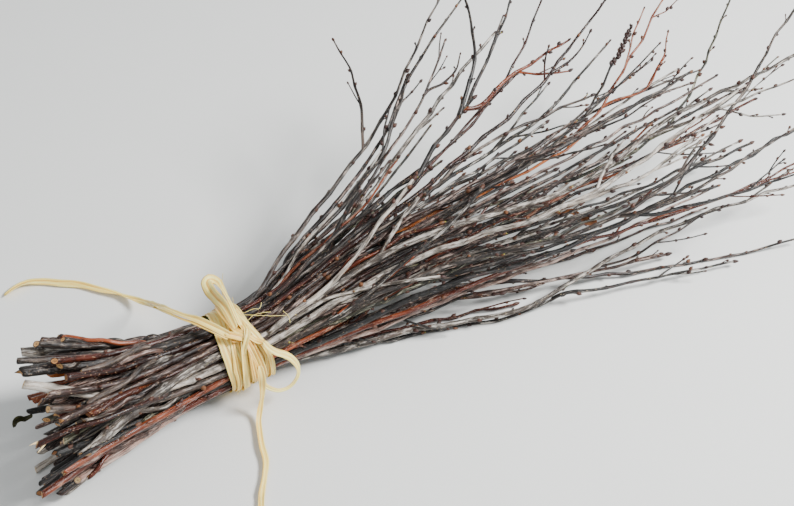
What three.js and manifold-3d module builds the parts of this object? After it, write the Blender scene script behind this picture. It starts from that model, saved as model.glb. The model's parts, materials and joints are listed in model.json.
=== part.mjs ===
// A bundle of cut twigs, tied with raffia and lying on a table.
// Millimetres. +X runs from the cut ends to the tips, +Z is up, and the table is z = 0.
import * as THREE from 'three';
import { mergeVertices } from 'three/addons/utils/BufferGeometryUtils.js';
import Module from 'manifold-3d';

// The bundle
const tieRadius = 24; // all the twigs together, where the raffia holds them
const tieHeight = 31.5; // middle of the bundle above the table, at the tie
const tieStart = -21.5; // the twigs stay within tieRadius from here
const tieEnd = 13.5; // to here
const cutEndX = -122; // where the cut ends are, give or take cutEndScatter
const cutEndScatter = 11;
const cutEndLean = 12; // the lower front ends reach this much further, the upper back ones less
const cutEndTwist = 0.3; // radians by which a twig may cross its neighbours on its way there
const cutEndRadius = 47; // the fan of the cut ends
const cutEndHeight = 44.5; // its middle above the table
const waist = 0.76; // halfway to its cut end, a twig is still this near to how it lies in the tie
const stationGap = 44; // a twig has a ring about this often beyond the tie
const forkGap = 30;
const clearance = 0.45; // between any two pieces

// The twigs
const twigSides = 6;
const forkSides = 5;
const prongSides = 4;
const buttSwell = 1.15; // a twig is this much thicker at its cut end than at the tie
const tipShare = 0.4; // and this share of it at its tip
const finestTip = 0.6;

// The twigs inside, which no one sees singly between the cut ends and the crown
const innerRadius = 17.5;
const innerCutRadius = 34;
const innerLobes = 20;
const innerCrownX = 105; // where they part into prongs
const prongCount = 16;
const prongRadius = 1.9;

// The raffia
const wrapThickness = 2.4;
const wrapTurns = 6;
const wrapSides = 24;
const turnWidth = 4.85;
const wrapMiddle = -4.6;
const wrapLean = 0.9; // the turns lean this far along X, towards the front
const wrapPinch = 0.4; // and lie this much closer at the upper back
const knotX = -3.6;
const knotLean = 0.69; // radians from straight up, towards -Y
const ribbonWidth = 4;
const loopRadius = 1.5;
const tailSides = 8;

// What the photo shows of each outer twig: its radius at the tie, its bark, and the
// places that it passes in the crown, the last of them its tip. Where the cut end shows,
// `butt` is its place, and `over` is how far the twig arches over the ones that it crosses.
const outerTwigs = [
  { r: 1.7, bark: 'dark', butt: [-126, 15, 83],
    way: [[66, 39, 62], [134, 71, 78], [175, 94, 95], [240, 140, 125]] },
  { r: 1.7, bark: 'dark', butt: [-113, 19, 86],
    way: [[105, 45, 66], [134, 53, 80], [165, 78, 100], [250, 123, 128]] },
  { r: 1.7, bark: 'mauve', way: [[107, 40, 60], [137, 55, 72], [178, 75, 85], [224, 110, 105]] },
  { r: 2.5, bark: 'grey', way: [[94, 35, 56], [125, 48, 64], [175, 67, 82], [257, 100, 105]] },
  { r: 2.6, bark: 'dark', butt: [-128, 3, 88],
    way: [[89, 13, 64], [128, 18, 76], [165, 34, 92], [205, 46, 105]] },
  { r: 1.7, bark: 'red', way: [[120, 42, 50], [212, 59, 70], [266, 84, 85], [319, 122, 105]] },
  { r: 1.9, bark: 'red', butt: [-108, -13, 86],
    way: [[136, 11, 78], [179, 19, 90], [245, 33, 105], [338, 73, 125]] },
  { r: 1.9, bark: 'grey', way: [[120, 30, 50], [257, 38, 70], [289, 48, 78], [336, 62, 90]] },
  { r: 1.8, bark: 'dark', way: [[110, 24, 45], [263, 22, 60], [323, 47, 72], [363, 75, 85]] },
  { r: 1.8, bark: 'red', way: [[110, 30, 32], [286, 27, 55], [348, 53, 70], [413, 89, 90]] },
  { r: 1.7, bark: 'dark', way: [[110, 38, 30], [278, 39, 50], [315, 37, 55], [392, 26, 65]] },
  { r: 1.9, bark: 'mauve', butt: [-122, -17, 83],
    way: [[110, 5, 62], [257, 14, 66], [319, 20, 66], [371, 12, 70]] },
  { r: 1.8, bark: 'green', way: [[110, 36, 20], [302, 0, 40], [373, 15, 50], [476, 81, 72]] },
  { r: 2.0, bark: 'dark', butt: [-123, -24, 82],
    way: [[110, -32, 60], [228, -65, 70], [286, -68, 85], [463, 9, 110]] },
  { r: 2.5, bark: 'grey', butt: [-115, -43, 56], over: 6,
    way: [[110, -10, 66], [241, -36, 80], [305, -23, 85], [437, -23, 95]] },
  { r: 2.3, bark: 'grey', butt: [-128, -6, 89], over: 1.5,
    way: [[110, -22, 64], [201, -50, 85], [246, -52, 90], [373, -35, 102]] },
  { r: 2.2, bark: 'dark', butt: [-129, -41, 63],
    way: [[110, -38, 50], [199, -62, 60], [328, -66, 66], [403, -64, 72]] },
  { r: 1.8, bark: 'red', butt: [-144, -42, 36],
    way: [[110, -40, 40], [258, -55, 40], [312, -64, 40], [406, -72, 42]] },
  { r: 2.1, bark: 'grey', way: [[118, -36, 8], [176, -58, 10], [300, -58, 20], [403, -79, 30]] },
  { r: 1.8, bark: 'mauve', way: [[136, -21, 18], [187, -40, 16], [301, -77, 0], [382, -105, 6]] },
  { r: 2.0, bark: 'grey', way: [[68, -22, 5], [110, -30, 0], [168, -53, 0], [208, -59, 8]] },
  { r: 1.7, bark: 'dark', way: [[57, -22, 20], [87, -25, 18], [129, -29, 18], [153, -36, 20]] },
  { r: 1.8, bark: 'red', butt: [-130, -44, 52],
    way: [[110, -16, 40], [250, -20, 60], [320, -8, 70]] },
  { r: 1.8, bark: 'mauve', way: [[110, -6, 2], [240, -30, 0], [350, -45, 4]] },
  { r: 1.8, bark: 'dark', way: [[110, 6, 3], [230, -10, 4], [330, -20, 10]] },
  { r: 1.9, bark: 'grey', way: [[110, 18, 2], [220, 12, 0], [360, -5, 18]] },
  { r: 1.7, bark: 'mauve', way: [[110, 28, 4], [240, 27, 0], [340, 37, 20]] },
  { r: 1.8, bark: 'dark', way: [[110, 40, 8], [190, 52, 0], [260, 68, 16]] },
  { r: 1.8, bark: 'mauve', butt: [-122, -31, 76],
    way: [[110, 4, 66], [200, 0, 84], [290, 10, 98]] },
  { r: 1.8, bark: 'mauve', way: [[110, -34, 28], [230, -48, 30], [340, -52, 34]] },
  { r: 1.7, bark: 'red', butt: [-110, -3, 89],
    way: [[110, 20, 60], [180, 40, 78], [250, 66, 92]] },
];

// Main forks: the twig that each grows from, how far along X it leaves, its radius there,
// its bark where that differs from the twig's, and the places that it passes.
const forks = [
  { twig: 0, x: 134, r: 1.1, way: [[152, 111, 92], [160, 152, 105]] },
  { twig: 4, x: 190, r: 1.5, way: [[222, 72, 122], [237, 113, 140]] },
  { twig: 4, x: 200, r: 1.3, way: [[242, 75, 118], [275, 101, 132]] },
  { twig: 4, x: 196, r: 1.5, bark: 'orange', way: [[231, 50, 108], [292, 59, 112]] },
  { twig: 6, x: 262, r: 1.0, way: [[282, 42, 112], [304, 54, 117]] },
  { twig: 7, x: 215, r: 1.1, way: [[245, 44, 76], [272, 54, 84]] },
  { twig: 8, x: 290, r: 1.0, way: [[320, 34, 74], [372, 50, 80]] },
  { twig: 9, x: 310, r: 1.0, way: [[345, 30, 66], [393, 60, 76]] },
  { twig: 11, x: 250, r: 1.0, way: [[285, 5, 74], [330, 0, 84]] },
  { twig: 13, x: 240, r: 1.3, way: [[290, -84, 88], [380, -82, 100]] },
  { twig: 14, x: 290, r: 1.1, way: [[340, -38, 96], [400, -52, 108]] },
  { twig: 15, x: 210, r: 1.2, way: [[260, -66, 100], [320, -60, 116]] },
  { twig: 16, x: 260, r: 1.2, way: [[310, -84, 66], [370, -98, 74]] },
  { twig: 17, x: 280, r: 1.0, way: [[330, -76, 52], [385, -88, 60]] },
  { twig: 18, x: 200, r: 1.3, way: [[250, -74, 8], [330, -96, 6]] },
  { twig: 19, x: 230, r: 1.0, way: [[270, -66, 24], [340, -70, 34]] },
  { twig: 2, x: 190, r: 1.0, way: [[212, 84, 92], [228, 96, 100]] },
  { twig: 12, x: 330, r: 1.0, way: [[380, -5, 54], [450, 5, 66]] },
  { twig: 22, x: 240, r: 1.0, way: [[280, -34, 72], [350, -30, 84]] },
  { twig: 25, x: 220, r: 1.1, way: [[270, 26, 4], [330, 40, 0]] },
];

// The raffia's two tails and two loops, as the places that they pass.
const tailLeftWay = [
  [-10.1, -12.6, 59.4], [-15.2, -6.6, 62.4], [-21.2, 2.5, 63.5], [-27.3, 15.5, 60],
  [-31.3, 29.5, 53.5], [-32.4, 42.4, 44.2], [-32.5, 53.8, 34.4], [-31.7, 67.1, 22.2],
  [-31.9, 78.5, 12.4], [-34, 88.1, 6.3], [-38, 97, 3], [-43, 105, 2.2], [-51, 114.5, 2.2],
  [-60, 125.5, 2.2], [-72, 135, 2.2], [-82, 143, 2.2], [-90, 147, 2.2], [-99, 147, 2.2],
  [-108, 144, 2.2],
];
const tailFrontWay = [
  [-1.6, -30.7, 43.4], [-1.1, -31.7, 34.8], [-1.2, -31.9, 25.1], [-3, -32.8, 16.3],
  [-4.8, -32.9, 10.1], [-6.9, -34.8, 5.8], [-10, -39, 3], [-13, -46, 2.2], [-16.5, -56, 2.2],
  [-19.5, -67, 2.2], [-25, -76, 2.2], [-31, -84.5, 2.2], [-36.5, -93.5, 2.2], [-40.5, -102, 2.2],
  [-43, -111, 2.2], [-43.5, -120, 2.2],
];
const loopUpperWay = [
  [-5.1, -11.1, 60.4], [-4.6, -2.5, 62.8], [-3.9, 7.5, 63], [-4.3, 18.2, 60.5], [-4.3, 28, 58.7],
  [-3, 33.8, 58.9], [0.3, 35.8, 57.8], [3.1, 33.2, 56.6], [3.3, 26.4, 57.1], [1.9, 16.5, 60],
  [0.3, 6, 62.8], [-1.1, -3.6, 63], [-1.5, -10.6, 60.9],
];
const loopRightWay = [
  [6.5, -23.2, 53.4], [8.5, -26.5, 49.4], [11.8, -29, 45.9], [15.5, -30.2, 42.9],
  [20, -31.7, 36.9], [22.6, -33.8, 28.8], [20.5, -34.8, 20.3], [14.5, -34.8, 15.3],
  [7.9, -34.3, 16.3], [4.4, -33.8, 20.8],
];

const barkColours = {
  grey: 0x77706b,
  mauve: 0x6e5452,
  dark: 0x3a2c2b,
  red: 0x7c3a31,
  orange: 0x9a4a2a,
  green: 0x5d6048,
};
const raffiaColour = 0xd9c08c;

const vector = ([x, y, z]) => new THREE.Vector3(x, y, z);
const noise = (n) => {
  const s = Math.sin(n * 127.1 + 11.7) * 43758.5453;
  return s - Math.floor(s);
};

// A tube through rings: a cylinder whose rows of points are laid on a path.
function tube(points, radii, sides) {
  const rows = points.length - 1;
  const shape = new THREE.CylinderGeometry(1, 1, rows, sides, rows, false, Math.PI / 2);
  const place = shape.attributes.position;
  const frames = ringFrames(points);
  for (let i = 0; i < place.count; i += 1) {
    const row = Math.round(rows / 2 - place.getY(i));
    const { across, up } = frames[row];
    const spot = points[row]
      .clone()
      .addScaledVector(across, place.getX(i) * radii[row])
      .addScaledVector(up, place.getZ(i) * radii[row]);
    place.setXYZ(i, spot.x, spot.y, spot.z);
  }
  return solidShape(shape);
}

// Axes square to the path at each of its points.
function ringFrames(points) {
  return points.map((p, i) => {
    const before = points[Math.max(i - 1, 0)];
    const after = points[Math.min(i + 1, points.length - 1)];
    const along = after.clone().sub(before).normalize();
    const across = new THREE.Vector3(0, 1, 0).cross(along);
    if (across.length() < 0.3) across.set(1, 0, 0).cross(along);
    across.normalize();
    return { across, up: along.clone().cross(across) };
  });
}

// Only the places of the points, each one once.
function solidShape(shape) {
  shape.deleteAttribute('normal');
  shape.deleteAttribute('uv');
  return mergeVertices(shape, 1e-4);
}

// A twig as a chain: places, a radius at each, and the shape it was drawn in.
function chain(places, radii) {
  return { points: places, radii, shape: places.map((p) => p.clone()) };
}

// Points along a way, about `gap` apart.
function spaced(way, gap) {
  const curve = new THREE.CatmullRomCurve3(way, false, 'centripetal');
  return curve.getSpacedPoints(Math.max(3, Math.round(curve.getLength() / gap)));
}

// Where each outer twig is held in the tie: in order round it, each with the room it needs.
function heldPlaces(twigs) {
  const order = twigs.map((twig, i) => {
    const [, y, z] = twig.way[0];
    const angle = Math.atan2(z - tieHeight, y);
    return { i, angle: angle < -Math.PI / 2 ? angle + 2 * Math.PI : angle };
  });
  order.sort((a, b) => a.angle - b.angle);
  const room = twigs.reduce((sum, twig) => sum + twig.r, 0);
  const places = [];
  let turned = -Math.PI / 2;
  for (const { i } of order) {
    const step = (Math.PI * twigs[i].r) / room;
    turned += step;
    const reach = tieRadius - twigs[i].r - clearance;
    places[i] = { y: reach * Math.cos(turned), z: reach * Math.sin(turned), angle: turned };
    turned += step;
  }
  return places;
}

function outerChain(twig, held, i) {
  const fan = cutEndRadius - twig.r - 5 * noise(i + 50);
  const turn = held.angle + (noise(i + 90) - 0.5) * 2 * cutEndTwist;
  const lean = cutEndLean * Math.sin(turn + 0.5);
  const cutX = cutEndX + lean + (noise(i) - 0.5) * 2 * cutEndScatter;
  const fanned = [cutX, fan * Math.cos(turn), cutEndHeight + fan * Math.sin(turn)];
  const butt = vector(twig.butt ?? fanned);
  const back = new THREE.Vector3(tieStart, held.y, tieHeight + held.z);
  const front = new THREE.Vector3(tieEnd, held.y, tieHeight + held.z);
  const middle = butt.clone().lerp(back, waist);
  middle.x = (butt.x + back.x) / 2;
  const outwards = new THREE.Vector3(0, middle.y, middle.z - tieHeight).normalize();
  middle.y += (noise(i + 130) - 0.5) * 4;
  middle.addScaledVector(outwards, twig.over ?? 0);
  const crown = spaced([front, ...twig.way.map(vector)], stationGap);
  const places = [butt, middle, back, ...crown];
  const radii = places.map((p, k) => {
    const beyond = (k - 3) / (places.length - 4);
    if (beyond < 0) return twig.r * (k === 2 ? 1 : buttSwell - 0.06 * k);
    return Math.max(finestTip, twig.r * (1 - (1 - tipShare) * beyond));
  });
  return chain(places, radii);
}

function innerChain() {
  const xs = [cutEndX + 4, -90, -50, tieStart, tieEnd, 60, 85, innerCrownX];
  const radii = [innerCutRadius, 25, 19.5, innerRadius, innerRadius, 21, 21, 13];
  const places = xs.map((x) => {
    const toCut = Math.max(0, (x - tieStart) / (cutEndX - tieStart));
    const toCrown = Math.max(0, (x - tieEnd) / innerCrownX);
    return new THREE.Vector3(x, 0, tieHeight + (cutEndHeight - tieHeight) * toCut + 7 * toCrown);
  });
  return chain(places, radii);
}

// The inner twigs' ends, fanned out in the crown by the golden angle.
function prongChain(i, root) {
  const golden = 2.39996;
  const share = Math.sqrt((i + 0.5) / prongCount);
  const angle = i * golden;
  const y = Math.cos(angle) * share;
  const z = Math.sin(angle) * share;
  const reach = 300 + 110 * noise(i + 7);
  const way = [
    new THREE.Vector3(80, 11 * y, tieHeight + 5 + 11 * z),
    new THREE.Vector3(150, 24 * y - 2, 40 + 24 * z),
    new THREE.Vector3(240, 42 * y - 8, 46 + 34 * z),
    new THREE.Vector3(reach, 62 * y - 8, 54 + 42 * z),
  ];
  const places = spaced(way, stationGap + 6);
  const radii = places.map((p, k) => {
    const share = k / (places.length - 1);
    return prongRadius * (1 - 0.6 * share);
  });
  return { ...chain(places, radii), root };
}

// A fork starts beside its twig, not in it, and follows wherever the twig goes.
function forkChain(fork, parent) {
  const start = footOn(parent, fork.x).place;
  const places = spaced([start, ...fork.way.map(vector)], forkGap);
  const radii = places.map((p, n) => {
    return Math.max(finestTip * 0.8, fork.r * (1 - 0.5 * (n / (places.length - 1))));
  });
  const branch = { ...chain(places, radii), parent, x: fork.x };
  attach(branch);
  return branch;
}

function footOn(parent, x) {
  const k = parent.points.findIndex((p) => p.x > x);
  const after = k < 1 ? parent.points.length - 1 : k;
  const a = parent.points[after - 1];
  const b = parent.points[after];
  const share = THREE.MathUtils.clamp((x - a.x) / (b.x - a.x), 0, 0.9);
  return { place: a.clone().lerp(b, share), along: b.clone().sub(a).normalize(), after };
}

function attach(branch) {
  const { place, along, after } = footOn(branch.parent, branch.x);
  const leave = branch.points[1].clone().sub(place).normalize();
  const side = leave.clone().addScaledVector(along, -leave.dot(along)).normalize();
  const out = branch.parent.radii[after - 1] + branch.radii[0] + clearance;
  branch.points[0].copy(place).addScaledVector(side, out).addScaledVector(along, out * 1.5);
}

// Nearest points of two stretches, as shares of each.
function nearest(a0, a1, b0, b1) {
  const u = a1.clone().sub(a0);
  const v = b1.clone().sub(b0);
  const w = a0.clone().sub(b0);
  const uu = u.dot(u);
  const uv = u.dot(v);
  const vv = v.dot(v);
  const uw = u.dot(w);
  const vw = v.dot(w);
  const square = uu * vv - uv * uv;
  let s = square > 1e-9 * uu * vv ? THREE.MathUtils.clamp((uv * vw - vv * uw) / square, 0, 1) : 0.5;
  const t = THREE.MathUtils.clamp((uv * s + vw) / vv, 0, 1);
  s = THREE.MathUtils.clamp((uv * t - uw) / uu, 0, 1);
  return { s, t };
}

const middle = new THREE.Vector3();
const between = new THREE.Vector3();
const pa = new THREE.Vector3();
const pb = new THREE.Vector3();

// Moves two stretches apart, each by half of what they lack.
function part(a, i, b, j) {
  const [a0, a1] = [a.points[i], a.points[i + 1]];
  const [b0, b1] = [b.points[j], b.points[j + 1]];
  const { s, t } = nearest(a0, a1, b0, b1);
  pa.copy(a0).lerp(a1, s);
  pb.copy(b0).lerp(b1, t);
  between.copy(pa).sub(pb);
  const need = a.radii[i] * (1 - s) + a.radii[i + 1] * s + b.radii[j] * (1 - t)
    + b.radii[j + 1] * t + clearance;
  const lack = need - between.length();
  if (lack <= 0) return;
  between.normalize();
  spread(a, i, s, lack / 2);
  spread(b, j, t, -lack / 2);
}

// Moves one stretch along `between`, its nearer end the more, and never a fork's or prong's foot.
function spread(c, i, share, amount) {
  const first = (c.parent || c.root) && i === 0 ? 0 : 1 - share;
  const second = share;
  const weight = Math.max(0.05, first ** 2 + second ** 2);
  c.points[i].addScaledVector(between, (amount * first) / weight);
  c.points[i + 1].addScaledVector(between, (amount * second) / weight);
}

// Moves a twig off the sheaf, which widens too much for the nearest points alone to tell.
function clearSheaf(c, sheaf) {
  for (let i = 0; i + 1 < c.points.length; i += 1) {
    for (const share of [0, 0.25, 0.5, 0.75, 1]) {
      pa.copy(c.points[i]).lerp(c.points[i + 1], share);
      const k = sheaf.points.findIndex((p) => p.x > pa.x) - 1;
      if (k < 0) continue;
      const [low, high] = [sheaf.points[k], sheaf.points[k + 1]];
      const up = (pa.x - low.x) / (high.x - low.x);
      pb.copy(low).lerp(high, up);
      between.copy(pa).sub(pb);
      const radius = c.radii[i] * (1 - share) + c.radii[i + 1] * share;
      const need = sheaf.radii[k] * (1 - up) + sheaf.radii[k + 1] * up + radius + clearance;
      const lack = need - between.length();
      if (lack <= 0) continue;
      between.normalize();
      spread(c, i, share, lack);
    }
  }
}

// Stretches that could meet, found once in every few rounds.
function neighbours(chains) {
  const stretches = [];
  chains.forEach((c, n) => {
    for (let i = 0; i + 1 < c.points.length; i += 1) {
      const mid = c.points[i].clone().lerp(c.points[i + 1], 0.5);
      const reach = mid.distanceTo(c.points[i]) + Math.max(c.radii[i], c.radii[i + 1]) + 2;
      stretches.push({ n, i, mid, reach });
    }
  });
  const pairs = [];
  for (let m = 0; m < stretches.length; m += 1) {
    for (let k = m + 1; k < stretches.length; k += 1) {
      const [p, q] = [stretches[m], stretches[k]];
      if (p.n === q.n) continue;
      if (p.mid.distanceTo(q.mid) > p.reach + q.reach) continue;
      pairs.push([chains[p.n], p.i, chains[q.n], q.i]);
    }
  }
  return pairs;
}

// Holds each chain to its drawn shape, above the table and inside the tie.
function hold(c, pull) {
  if (c.parent) attach(c);
  const last = c.points.length - 1;
  c.points.forEach((p, i) => {
    if ((c.parent || c.root) && i === 0) return;
    p.lerp(c.shape[i], pull);
    if (i > 0 && i < last) {
      middle.copy(c.points[i - 1]).add(c.points[i + 1]).multiplyScalar(0.5);
      const drawn = c.shape[i - 1].clone().add(c.shape[i + 1]).multiplyScalar(0.5);
      middle.add(c.shape[i]).sub(drawn);
      p.lerp(middle, pull * 4);
    }
    if (p.z < c.radii[i]) p.z = c.radii[i];
    if (p.x > tieStart - 1 && p.x < tieEnd + 1 && !c.parent) {
      const reach = Math.hypot(p.y, p.z - tieHeight);
      const most = tieRadius - c.radii[i];
      if (reach > most) {
        p.y *= most / reach;
        p.z = tieHeight + (p.z - tieHeight) * (most / reach);
      }
    }
  });
}

function settle(chains, sheaf) {
  const rounds = 900;
  let pairs = [];
  for (let round = 0; round < rounds; round += 1) {
    if (round % 15 === 0) pairs = neighbours(chains);
    const pull = 0.03 * THREE.MathUtils.clamp(2 - (2.6 * round) / rounds, 0, 1);
    for (const c of chains) hold(c, pull);
    for (const [a, i, b, j] of pairs) part(a, i, b, j);
    for (const c of chains) if (!c.root) clearSheaf(c, sheaf);
  }
}

const wasm = await Module();
wasm.setup();

function toSolid(shape) {
  return new wasm.Manifold(new wasm.Mesh({
    numProp: 3,
    vertProperties: new Float32Array(shape.attributes.position.array),
    triVerts: new Uint32Array(shape.index.array),
  }));
}

function fromSolid(solid) {
  const mesh = solid.getMesh();
  const shape = new THREE.BufferGeometry();
  shape.setAttribute('position', new THREE.BufferAttribute(mesh.vertProperties, 3));
  shape.setIndex(new THREE.BufferAttribute(mesh.triVerts, 1));
  return shape;
}

// The fused inner twigs: a ridged sheaf from the cut ends to the crown, and its prongs.
function innerShape(sheaf, prongs) {
  const sides = innerLobes * 2;
  const body = tube(sheaf.points, sheaf.radii.map(() => 1), sides);
  const place = body.attributes.position;
  const spot = new THREE.Vector3();
  for (let i = 0; i < place.count; i += 1) {
    spot.fromBufferAttribute(place, i);
    const row = nearestRow(sheaf.points, spot);
    const centre = sheaf.points[row];
    const out = new THREE.Vector3(0, spot.y - centre.y, spot.z - centre.z);
    if (out.length() < 0.5) continue;
    const angle = Math.atan2(out.z, out.y);
    const valley = Math.cos(angle * innerLobes) < 0 ? 2.4 : 0;
    out.normalize().multiplyScalar(sheaf.radii[row] - valley);
    place.setXYZ(i, centre.x, centre.y + out.y, centre.z + out.z);
  }
  let solid = toSolid(body);
  for (const prong of prongs) {
    solid = solid.add(toSolid(tube(prong.points, prong.radii, prongSides)));
  }
  return fromSolid(solid);
}

function nearestRow(points, spot) {
  let best = 0;
  points.forEach((p, i) => {
    if (p.distanceTo(spot) < points[best].distanceTo(spot)) best = i;
  });
  return best;
}

// The raffia's turns, fused: a sleeve with a ridge for each turn, leaning a little.
function wrapShape() {
  const inner = (tieRadius + clearance) / Math.cos(Math.PI / wrapSides);
  const half = (wrapTurns * turnWidth) / 2;
  const profile = [new THREE.Vector2(inner, -half)];
  for (let turn = 0; turn < wrapTurns; turn += 1) {
    const left = -half + turn * turnWidth;
    const thick = wrapThickness * (0.75 + 0.25 * noise(turn + 3));
    profile.push(new THREE.Vector2(inner + thick * 0.55, left + 0.2));
    profile.push(new THREE.Vector2(inner + thick, left + turnWidth * 0.3));
    profile.push(new THREE.Vector2(inner + thick, left + turnWidth * 0.75));
  }
  profile.push(new THREE.Vector2(inner + wrapThickness * 0.5, half - 0.2));
  profile.push(new THREE.Vector2(inner, half));
  profile.push(profile[0].clone());
  const shape = new THREE.LatheGeometry(profile, wrapSides);
  shape.rotateZ(-Math.PI / 2);
  const place = shape.attributes.position;
  for (let i = 0; i < place.count; i += 1) {
    const back = (0.79 * place.getY(i) + 0.61 * place.getZ(i)) / tieRadius;
    place.setX(i, wrapMiddle + place.getX(i) * (1 - wrapPinch * back) - wrapLean * back);
    place.setZ(i, place.getZ(i) + tieHeight);
  }
  return solidShape(shape);
}

function loopShape(way) {
  const curve = new THREE.CatmullRomCurve3(way.map(vector), false, 'centripetal');
  const places = curve.getSpacedPoints(Math.round(curve.getLength() / 4.5));
  return tube(places, places.map(() => loopRadius), twigSides);
}

function tailShape(way) {
  const curve = new THREE.CatmullRomCurve3(way.map(vector), false, 'centripetal');
  const section = new THREE.Shape();
  section.absarc(0, 0, ribbonWidth / 2, 0, Math.PI * 2);
  const shape = new THREE.ExtrudeGeometry(section, {
    steps: Math.round(curve.getLength() / (ribbonWidth * 2.5)),
    extrudePath: curve,
    bevelEnabled: false,
    curveSegments: tailSides,
  });
  return solidShape(shape);
}

// The knot: a squashed ball on the wrap, where the ribbons cross.
function knotShape() {
  const shape = new THREE.SphereGeometry(1, 12, 8);
  const out = tieRadius + wrapThickness + 4.6;
  shape.scale(7, 5, 3.2);
  shape.rotateX(knotLean);
  shape.translate(knotX, -out * Math.sin(knotLean), tieHeight + out * Math.cos(knotLean));
  return solidShape(shape);
}

const group = new THREE.Group();

function addPiece(name, shape, colour, roughness) {
  const finish = new THREE.MeshStandardMaterial({ color: colour, roughness, metalness: 0 });
  const piece = new THREE.Mesh(shape, finish);
  piece.name = name;
  group.add(piece);
  return piece;
}

const number = (n) => String(n + 1).padStart(2, '0');

const held = heldPlaces(outerTwigs);
const stems = outerTwigs.map((twig, i) => outerChain(twig, held[i], i));
const branches = forks.map((fork) => forkChain(fork, stems[fork.twig]));
const sheaf = innerChain();
const prongs = Array.from({ length: prongCount }, (_, i) => prongChain(i, sheaf));
settle([...stems, ...branches, ...prongs], sheaf);

stems.forEach((stem, i) => {
  const colour = barkColours[outerTwigs[i].bark];
  addPiece(`twig_${number(i)}`, tube(stem.points, stem.radii, twigSides), colour, 0.7);
});
branches.forEach((branch, i) => {
  const colour = barkColours[forks[i].bark ?? outerTwigs[forks[i].twig].bark];
  addPiece(`fork_${number(i)}`, tube(branch.points, branch.radii, forkSides), colour, 0.7);
});
addPiece('inner_twigs', innerShape(sheaf, prongs), barkColours.mauve, 0.8);
addPiece('raffia_wrap', wrapShape(), raffiaColour, 0.6);
addPiece('raffia_knot', knotShape(), raffiaColour, 0.6);
addPiece('raffia_loop_upper', loopShape(loopUpperWay), raffiaColour, 0.6);
addPiece('raffia_loop_right', loopShape(loopRightWay), raffiaColour, 0.6);
addPiece('raffia_tail_left', tailShape(tailLeftWay), raffiaColour, 0.6);
addPiece('raffia_tail_front', tailShape(tailFrontWay), raffiaColour, 0.6);

// The origin is the middle of the base of the bundle, its loose tails left out.
const tails = ['raffia_tail_left', 'raffia_tail_front'];
const reach = new THREE.Box3();
for (const piece of group.children) {
  if (!tails.includes(piece.name)) reach.expandByObject(piece);
}
const base = reach.getCenter(new THREE.Vector3());
group.position.set(-base.x, -base.y, -reach.min.z);

export default group;
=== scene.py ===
import json
import math

import bpy
import numpy as np
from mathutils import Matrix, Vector
from mathutils.kdtree import KDTree


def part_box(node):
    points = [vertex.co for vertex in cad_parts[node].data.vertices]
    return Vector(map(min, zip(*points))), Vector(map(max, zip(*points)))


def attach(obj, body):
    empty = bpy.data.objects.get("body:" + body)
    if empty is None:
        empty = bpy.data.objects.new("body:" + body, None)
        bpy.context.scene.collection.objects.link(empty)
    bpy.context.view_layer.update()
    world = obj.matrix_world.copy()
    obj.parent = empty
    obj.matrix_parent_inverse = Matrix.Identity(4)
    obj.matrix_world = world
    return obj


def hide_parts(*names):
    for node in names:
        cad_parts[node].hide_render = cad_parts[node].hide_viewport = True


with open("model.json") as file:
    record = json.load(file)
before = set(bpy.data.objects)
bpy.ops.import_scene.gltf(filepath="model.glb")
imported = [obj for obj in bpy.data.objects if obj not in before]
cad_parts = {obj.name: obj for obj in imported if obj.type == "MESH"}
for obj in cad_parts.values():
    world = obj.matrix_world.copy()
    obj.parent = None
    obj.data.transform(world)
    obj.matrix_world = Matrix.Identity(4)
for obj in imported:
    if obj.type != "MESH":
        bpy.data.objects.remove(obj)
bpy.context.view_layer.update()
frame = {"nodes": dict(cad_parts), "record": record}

mm = 0.001  # lengths are in metres, and most are written as so many millimetres

# the middle of the knot tells where the tie is in the part's frame, in millimetres
tie = {
    "height": 31.5,
    "knotFromTie": (-3.6, -19.73, 55.41),
}
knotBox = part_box("raffia_knot")
underTie = (knotBox[0] + knotBox[1]) / 2 - Vector(tie["knotFromTie"]) * mm


def place(x, y, z):
    # millimetres from the spot on the table under the middle of the tie
    return underTie + Vector((x, y, z)) * mm


# camera
view = {
    "azimuth": -32.0,
    "elevation": 47.0,
    "distance": 750.0,
    "focalPixels": 1200.0,
    "imageSize": (794, 506),
    "tiePixel": (240, 345),  # where the photo shows the middle of the tie
    "aimHeight": 30.0,  # of that middle over the table
    "sensor": 36.0,
    "clip": (0.01, 50),
}


def addCamera():
    turn = math.radians(view["azimuth"])
    rise = math.radians(view["elevation"])
    back = Vector((math.sin(turn) * math.cos(rise), -math.cos(turn) * math.cos(rise), math.sin(rise)))
    right = Vector((math.cos(turn), math.sin(turn), 0))
    up = back.cross(right)
    width, height = view["imageSize"]
    perPixel = view["distance"] / view["focalPixels"] * mm
    across = (view["tiePixel"][0] - width / 2) * perPixel
    down = (view["tiePixel"][1] - height / 2) * perPixel
    spot = place(0, 0, view["aimHeight"]) - right * across + up * down + back * view["distance"] * mm
    data = bpy.data.cameras.new("camera")
    data.sensor_width = view["sensor"]
    data.lens = view["focalPixels"] / width * view["sensor"]
    data.clip_start, data.clip_end = view["clip"]
    camera = bpy.data.objects.new("camera", data)
    camera.location = spot
    camera.rotation_mode = "QUATERNION"
    camera.rotation_quaternion = (-back).to_track_quat("-Z", "Y")
    bpy.context.scene.collection.objects.link(camera)
    bpy.context.scene.camera = camera


addCamera()


# curves and meshes that everything uses
def steps(points):
    # distance along a line of points, starting at 0
    gaps = np.linalg.norm(np.diff(points, axis=0), axis=1)
    return np.concatenate(([0.0], np.cumsum(gaps)))


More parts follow.
